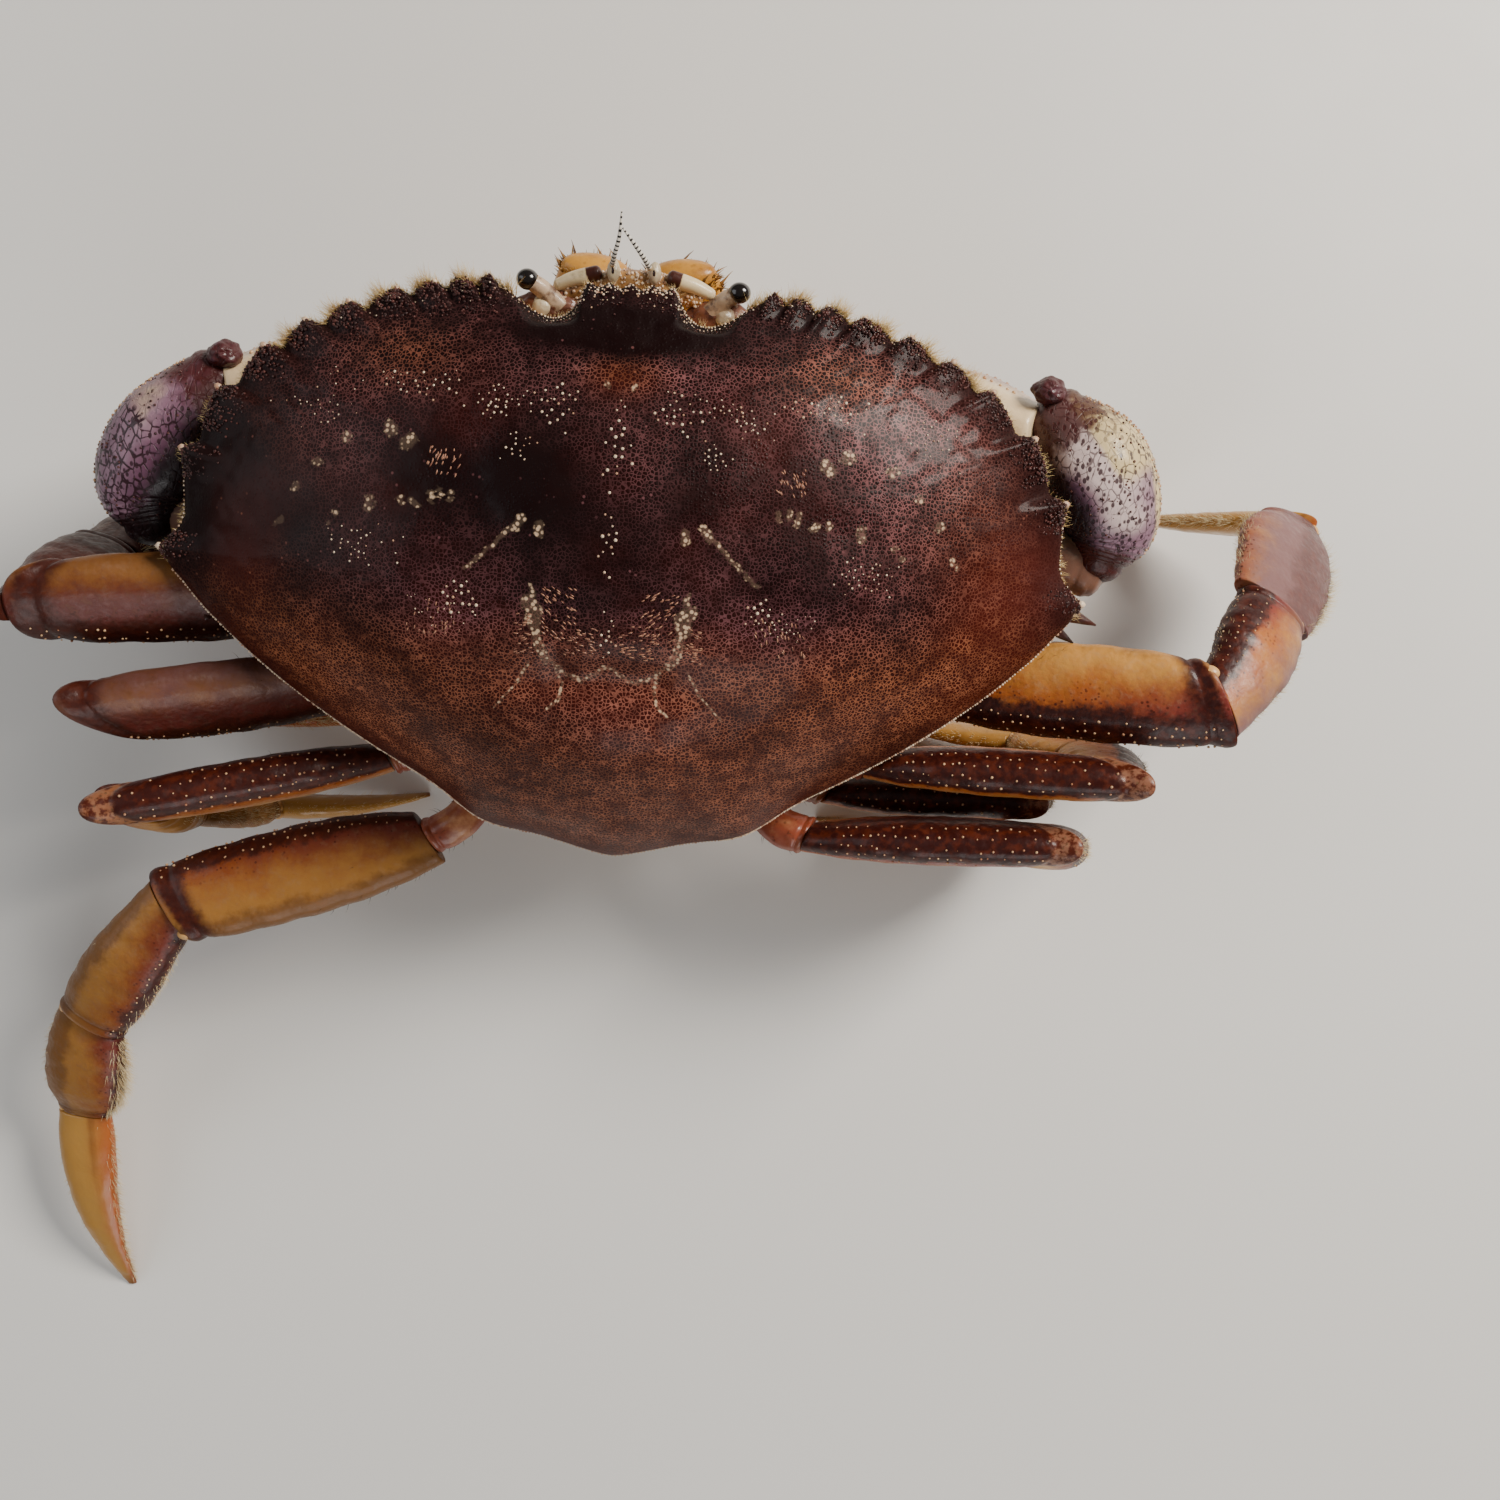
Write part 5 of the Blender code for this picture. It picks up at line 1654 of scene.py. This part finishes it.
        # Painted shade: the left wrist gets more near black, more violet and far fewer white cells than the
        # right, and the underside is darkened.
        right = not self.left
        black_and_painted_shade = np.clip(-outer + (0.0 if right else 0.22), 0.0, 1.0)
        black_and_painted_shade += (0.5 if right else 0.8) * ease((0.20 - t) / 0.18) + 0.4 * ease(-height)
        middle = np.exp(-((outer - 0.05) / 0.5) ** 2) * ease((t - 0.16) / 0.2)
        edge = ease((outer - 0.55) / 0.4) * ease((t - 0.12) / 0.1)
        far_edge = ease((t - 0.40) / 0.3) * ease((outer + 0.05) / 0.4)
        white = ease((t - 0.45) / 0.3) * 0.5 + 0.3 * outer + 0.6 * middle
        rust = 0.75 * ease((t - 0.70) / 0.25) + (0.65 if right else 0.3) * ease((0.22 - t) / 0.14)
        masks = {
            "outer": outer - (0.0 if right else 0.4),
            "white": white * (1.0 if right else 0.16),
            "black_and_painted_shade": black_and_painted_shade,
            "straw": self.straw * np.maximum(0.8 * edge, far_edge),
            "rust": rust + 0.4 * ease((t - 0.6) / 0.3) * ease((outer - 0.5) / 0.3),
            "web": self.web,
            "bare": self.web * ease((t - 0.60) / 0.12) * ease((outer + 0.1) / 0.3),
        }
        closed_piece(node + "_shell", bm, spots, finishes.wrist, (node,), masks)

    def wrist_grains(self, rod: Rod, kit: Kit) -> None:
        """Grains scattered over the wrist and in rows along its outer edge."""
        bead, rng = round_form(), kit.rng
        count = 420
        t = rng.uniform(0.06, 0.95, count)
        turn = rng.uniform(0.0, 2.0 * math.pi, count)
        spots, ups, ahead = rod.spots_and_ups(t, turn)
        sizes = rng.uniform(0.12, 0.3, count)
        kit.swarms["dark_grains"].add(bead, spots, ups, ahead, sized(sizes, sizes, sizes * 0.8))
        for lean, count in ((0.15, 60), (0.45, 44)):
            t = np.linspace(0.14, 0.96, count) + rng.normal(0.0, 0.005, count)
            turn = np.full(count, lean if self.left else math.pi - lean) + rng.normal(0.0, 0.04, count)
            spots, ups, ahead = rod.spots_and_ups(np.clip(t, 0.0, 0.99), turn)
            kit.swarms["grains"].add(bead, spots, ups, ahead, rng.uniform(0.2, 0.36, (count, 1)))

    def top_edge(self, s: Array) -> Array:
        """Upper edge of palm and fixed finger, s millimetres out from the wrist."""
        f = s / self.knuckle
        palm = 8.5 + 7.0 * np.sin(np.minimum(f * 1.25, 1.0) * math.pi / 2.0)
        g = (s - self.knuckle) / (self.hand_length - self.knuckle)
        finger = 15.5 - 19.0 * ease((s - self.knuckle) / 2.0) - 4.2 * g
        return np.where(s < self.knuckle, palm, finger)

    def bottom_edge(self, s: Array) -> Array:
        """Lower edge of palm and fixed finger."""
        palm = -8.5 - 7.0 * np.sin(np.clip(s / self.knuckle, 0.0, 1.0) * math.pi / 2.0)
        g = np.maximum((s - self.knuckle) / (self.hand_length - self.knuckle), 0.0)
        return np.where(s < self.knuckle, palm, -15.5 + 5.5 * g**1.5)

    def in_hand(self, s: Array, rise: Array, out: Array) -> Array:
        """Places so far along, above and outside of the wrist."""
        return (self.wrist_at + self.forward * s[:, None] + self.above * rise[:, None]
                + self.outward * out[:, None])

    def loft(self, s: Array, turn: Array, out: Array | float, top: Array, bottom: Array,
             depth: Array) -> Array:
        """Places on palm or finger.

        Args:
            s: how many millimetres out from the wrist.
            turn: angle round the section.
            out: share of the section's own size.
            top: upper edge there.
            bottom: lower edge there.
            depth: half depth there.

        Returns:
            Places in the crab's own frame.
        """
        rise = (top + bottom) * 0.5 + (top - bottom) * 0.5 * rounded(np.sin(turn), 2.3) * out
        return self.in_hand(s, rise, depth * rounded(np.cos(turn), 2.2) * out)

    def palm_depth(self, s: Array) -> Array:
        """Half depth of palm and fixed finger."""
        t = (s - self.palm_start) / (self.hand_length - self.palm_start)
        return self.palm_half * curve(self.palm_profile, t)

    def hand(self, wrist_plane: Array, kit: Kit) -> None:
        """Palm with its fixed finger, and the moving finger above it."""
        start, length = self.palm_start, self.hand_length - self.palm_start
        knuckle_rows = (np.linspace(44.4, 47.4, 13) - start) / length
        bm, turn, t, out = ring_grid(72, rod_levels(100, tuple(knuckle_rows)))
        s = start + length * t
        ridge = 1.0 + 0.02 * np.sin(turn * 9.0) * ease((self.knuckle - s) / 8.0) * ease(s / 10.0)
        spots = self.loft(s, turn, out * ridge, self.top_edge(s), self.bottom_edge(s), self.palm_depth(s))
        past = ((spots - self.wrist_at) @ wrist_plane) - GAP * 0.5
        spots -= self.forward * (np.minimum(past, 0.0) / (self.forward @ wrist_plane))[:, None]
        upper = np.sin(turn) * 0.6 + 0.35
        masks = {"upper": upper * ease((70.0 - s) / 20.0), "bare": ease((s - 60.0) / 12.0)}
        closed_piece(self.stem + "_palm_shell", bm, spots, kit.finishes.hand,
                     (self.stem + "_palm",), masks)
        first, last = self.knuckle + 2.6, self.hand_length + 1.5
        bm, turn, t, out = ring_grid(56, rod_levels(70))
        s = first + (last - first) * t
        depth = 6.6 * curve((1.0, 0.92, 0.7, 0.3), t)
        spots = self.loft(s, turn, out, 14.6 - 21.0 * t**1.35, -2.7 - 4.6 * t, depth)
        upper = (np.sin(turn) * 0.5 + 0.5) * ease((0.75 - t) / 0.4)
        closed_piece(self.stem + "_finger_shell", bm, spots, kit.finishes.hand,
                     (self.stem + "_finger",), {"upper": upper, "bare": ease((t - 0.5) / 0.3)})
        self.hand_grains(kit)

    def hand_grains(self, kit: Kit) -> None:
        """Rows of grains along the palm and blunt teeth along both biting edges."""
        bead, rng = round_form(), kit.rng
        for row in range(5):
            s = np.linspace(8.0, 43.0, 24) + rng.normal(0.0, 0.3, 24)
            turn = np.array(math.radians(90.0 - 26.0 * row))
            spots = self.loft(s, turn, 1.0, self.top_edge(s), self.bottom_edge(s), self.palm_depth(s))
            ups = self.above * math.sin(turn) + self.outward * math.cos(turn)
            kit.swarms["grains"].add(bead, spots, ups, self.forward, rng.uniform(0.3, 0.5, (24, 1)))
        knob = round_form(3)
        for count, height, face in ((8, -3.1, 1.0), (7, -3.9, -1.0)):
            s = np.linspace(51.0, 78.0, count) + (1.0 if face > 0.0 else 3.0)
            g = (s - self.knuckle) / (self.hand_length - self.knuckle)
            spots = self.in_hand(s, height - 4.3 * g + 0.3 * face, np.zeros(count))
            size = np.interp(s, (50.0, 80.0), (1.5, 0.9))
            kit.swarms["teeth"].add(knob, spots, self.above * -face, self.forward,
                                    sized(size * 1.2, size, size * 0.55))


@dataclass
class Face:
    """Eyes on stalks, feelers, small feelers, jaw plates and the grained skin between them."""

    kit: Kit
    eye_path: tuple = ((13.0, -46.6, 0.2), (14.8, -48.4, 1.0), (16.4, -49.8, 1.8), (18.2, -50.8, 2.5),
                       (19.4, -51.4, 2.8))
    feeler_root: tuple = ((13.4, -50.6, 0.2), (11.0, -51.6, 1.0), (8.8, -52.2, 1.5), (6.6, -52.9, 1.7))
    whips: tuple = (((3.8, -54.2, 4.0), (3.2, -55.8, 6.6), (2.4, -58.6, 8.2), (2.0, -62.6, 9.8)),
                    ((-2.8, -54.0, 4.2), (-1.9, -55.4, 6.4), (-0.2, -57.6, 8.0), (1.8, -60.0, 9.2)))
    small_at: tuple = (3.6, -53.3, 2.8)
    socket: tuple = (15.2, -46.4, -0.6)
    socket_skin: tuple = (16.2, -46.6, 0.9)
    mouth_top: tuple = (0.0, -49.4, -4.0)
    mouth_foot: tuple = (0.0, -30.0, -28.0)

    def __post_init__(self) -> None:
        self.finishes = self.kit.finishes

    def build(self) -> None:
        """Make both sides."""
        for side, name in ((1.0, "left"), (-1.0, "right")):
            flip = np.array((side, 1.0, 1.0))
            self.eye(name, flip)
            self.feeler(name, flip)
            self.jaw(name, side)
            self.small_feeler(name, flip)
            self.lump("eye_socket_" + name, self.socket * flip, (6.0, 3.4, 2.4), self.finishes.socket, 0.12)
            self.lump("socket_skin_" + name, self.socket_skin * flip, (1.9, 2.0, 1.5), self.finishes.arm)
        self.pad()

    def lump(self, name: str, centre: Array, size: tuple, material: Material,
             rough: float = 0.05) -> None:
        """Soft ellipsoid."""
        bm, ball = ball_form(40, 26)
        ball *= (1.0 + rough * ripple(ball, 0.4))[:, None]
        closed_piece(name, bm, centre + ball * size, material)

    def pad(self) -> None:
        """Grained skin across the face under the front edge."""
        path = np.array(((-12.0, -49.4, -1.0), (-5.0, -51.4, -0.2), (0.0, -51.8, 0.0), (5.0, -51.4, -0.2),
                         (12.0, -49.4, -1.0)))
        rod = self.tube("face_pad", path, (1.6, 2.0, 2.2, 2.0, 1.6), (1.8, 2.2, 2.4, 2.2, 1.8),
                        self.finishes.flesh)
        count, rng = 420, self.kit.rng
        spots, ups, ahead = rod.spots_and_ups(rng.uniform(0.0, 1.0, count), rng.uniform(-0.6, 3.7, count))
        self.kit.swarms["face"].add(round_form(), spots, ups, ahead, rng.uniform(0.12, 0.38, (count, 1)))

    def tube(self, name: str, path: Array, widths: tuple, depths: tuple, material: Material,
             nodes: tuple = (), face: tuple = UP, sides: int = 28, rows: int = 40,
             dome: float = 0.0, dark_end: float = 2.0) -> Rod:
        """Closed round piece along a path, with its length kept on it.

        Args:
            name: the piece's name.
            path: points that its middle passes through.
            widths: half widths along it.
            depths: half depths along it.
            material: its finish.
            nodes: solids that it stands for.
            face: the way that its broad face looks.
            sides: points round it.
            rows: rings along it.
            dome: how far its ends are rounded.
            dark_end: where its dark end starts, if it has one.

        Returns:
            The rod that shapes it.
        """
        rod = Rod(path, np.array(widths), np.array(depths), np.array(face), power=2.0, dome=dome)
        bm, turn, t, out = ring_grid(sides, rod_levels(rows))
        masks = {"along": t, "tone": ease((t - dark_end) / 0.1) - 0.2 * (dark_end < 1.0)}
        closed_piece(name, bm, rod.at(t, turn, out), material, nodes, masks)
        return rod

    def eye(self, name: str, flip: Array) -> None:
        """Stalk and black ball."""
        path = np.array(self.eye_path) * flip
        self.tube("eye_stalk_" + name, path[:4], (1.9, 1.7, 1.6, 1.5), (1.3, 1.3, 1.5, 1.5),
                  self.finishes.stalk)
        bm, ball = ball_form(40, 24)
        centre = path[3] + (path[4] - path[3]) * 0.35
        closed_piece("eye_ball_" + name, bm, centre + ball * (2.0, 1.85, 1.9), self.finishes.ball,
                     ("eye_" + name,))

    def feeler(self, name: str, flip: Array) -> None:
        """Stout root with a brown end, and a banded whip."""
        thick = (1.1, 1.3, 1.4, 1.3)
        self.tube("feeler_root_" + name, np.array(self.feeler_root) * flip, thick, thick,
                  self.finishes.feeler, ("antenna_" + name,), dome=0.9, dark_end=0.72)
        whip = np.array(self.whips[0 if flip[0] > 0.0 else 1])
        thin = (0.50, 0.42, 0.34, 0.14)
        self.tube("feeler_whip_" + name, whip, thin, thin, self.finishes.rings, sides=12, rows=90)

    def small_feeler(self, name: str, flip: Array) -> None:
        """Folded small feeler: a pale oval with a brown slot."""
        centre = np.array(self.small_at) * flip
        for part, size, material in (("rim", (1.15, 2.0, 1.1), self.finishes.arm),
                                     ("slot", (0.5, 1.15, 1.22), self.finishes.spine)):
            self.lump("small_feeler_" + part + "_" + name, centre, size, material)

    def jaw(self, name: str, side: float) -> None:
        """Outer jaw plate with a fringe of dark bristles."""
        top, foot = np.array(self.mouth_top), np.array(self.mouth_foot)
        down = unit(foot - top)
        outward = np.array((0.0, down[2], -down[1]))
        path = []
        for t, x, lift in ((0.0, 7.9, 6.5), (0.33, 9.2, 5.4), (0.66, 9.0, 3.6), (1.0, 8.2, 3.0)):
            spot = top + (foot - top) * t + outward * lift
            path.append((side * x, spot[1], spot[2]))
        rod = self.tube("jaw_plate_" + name, np.array(path), (6.2, 8.0, 8.2, 6.0), (3.0, 3.7, 3.0, 2.2),
                        self.finishes.plate, ("maxilliped_" + name,), tuple(outward), 48, 60, 2.2)
        spike, rng = spike_form(6, 3), self.kit.rng
        for count, low, high, thick in ((130, 0.8, 1.8, 0.14), (22, 1.6, 3.4, 0.30)):
            turn = rng.uniform(0.0, 2.0 * math.pi, count)
            spots, ups, ahead = rod.spots_and_ups(rng.uniform(0.0, 0.16, count), turn, 0.97)
            ups = ups * 0.5 + (0.15 * side, -0.85, 0.55) + rng.normal(0.0, 0.25, (count, 3))
            size = rng.uniform(low, high, count)
            self.kit.swarms["jaw"].add(spike, spots, ups, ahead, sized(thick, thick, size), 0.2)


@dataclass
class Studio:
    """Pale floor, soft lights and the camera."""

    lens: float = 38.0
    camera_at: tuple = (-23.05, -32.14, 290.83)
    forward: tuple = (-0.0087, 0.213, -0.977)
    up: tuple = (0.0629, -0.975, -0.2132)
    floor_colour: tuple = tint(226, 224, 220)

    def build(self) -> None:
        """Set up everything round the crab."""
        self.floor()
        self.camera()
        self.light("key", (-0.62, -0.50, 0.62), 0.34, 15.0, (1.0, 0.94, 0.86))
        self.light("fill", (0.70, -0.10, 0.50), 0.60, 2.0, (0.94, 0.96, 1.0))
        self.light("back", (-0.10, 0.80, 0.45), 0.50, 3.0, (1.0, 1.0, 1.0))
        world = bpy.data.worlds.new("studio")
        world.use_nodes = True
        background = world.node_tree.nodes["Background"]
        background.inputs["Color"].default_value = (0.96, 0.94, 0.90, 1.0)
        background.inputs["Strength"].default_value = 0.17
        bpy.context.scene.world = world

    def floor(self) -> None:
        """Plain pale floor."""
        bm = bmesh.new()
        bmesh.ops.create_grid(bm, x_segments=1, y_segments=1, size=3.0)
        mesh = bpy.data.meshes.new("floor")
        bm.to_mesh(mesh)
        bm.free()
        recipe = Recipe("studio_floor")
        recipe.coat(self.floor_colour, recipe.step(recipe.grain(60.0), 0.3, 0.7, 0.55, 0.65))
        mesh.materials.append(recipe.material)
        floor = bpy.data.objects.new("floor", mesh)
        bpy.context.scene.collection.objects.link(floor)

    def camera(self) -> None:
        """Camera at the photo's place over the crab."""
        data = bpy.data.cameras.new("camera")
        data.lens = self.lens
        data.sensor_width = 36.0
        data.clip_start = 0.01
        camera = bpy.data.objects.new("camera", data)
        bpy.context.scene.collection.objects.link(camera)
        back = -unit(STANCE.turn(np.array(self.forward)))
        up = STANCE.turn(np.array(self.up))
        up = unit(up - back * (up @ back))
        right = np.cross(up, back)
        turn = Matrix((right, up, back)).transposed().to_4x4()
        camera.matrix_world = Matrix.Translation(STANCE.place(np.array(self.camera_at))) @ turn
        bpy.context.scene.camera = camera

    @staticmethod
    def light(name: str, place: tuple, size: float, power: float, colour: tuple) -> None:
        """Soft square light aimed at the crab."""
        data = bpy.data.lights.new(name, "AREA")
        data.shape = "SQUARE"
        data.size = size
        data.energy = power
        data.color = colour
        light = bpy.data.objects.new(name, data)
        bpy.context.scene.collection.objects.link(light)
        light.location = place
        aim = Vector((0.0, 0.0, 0.04)) - Vector(place)
        light.rotation_euler = aim.to_track_quat("-Z", "Y").to_euler()


def main() -> None:
    """Build the crab in order."""
    logging.basicConfig(level=logging.INFO, format="%(name)s %(message)s")
    finishes = Finishes()
    back = Carapace(finishes)
    back.build()
    back.grains()
    back.fringe()
    back.corner_spines()
    chest = Chest(finishes)
    chest.build()
    swarms = {key: Swarm(name, getattr(finishes, finish), slot) for key, name, finish, slot in (
        ("grains", "limb_grains", "limb_grain", Slot.LEG),
        ("dark_grains", "wrist_grains", "tooth", Slot.CLAW),
        ("teeth", "finger_teeth", "grain", Slot.CLAW),
        ("fringe", "limb_bristles", "pale_hair", Slot.LEG),
        ("dark", "dark_bristles", "dark_hair", Slot.LEG),
        ("knobs", "hinge_knobs", "hinge", Slot.LEG),
        ("jaw", "jaw_bristles", "jaw_hair", Slot.MOUTHPARTS),
        ("face", "face_grains", "grain", Slot.MOUTHPARTS),
        ("skins", "joint_skins", "skin", Slot.UNDERSIDE),
    )}
    kit = Kit(finishes, swarms, chest, np.random.default_rng(7))
    for builder in (*LEGS, Claw(1.0), Claw(-1.0)):
        builder.build(kit)
    Face(kit).build()
    for swarm in swarms.values():
        swarm.finish()
    Studio().build()


if __name__ == "__main__":
    main()
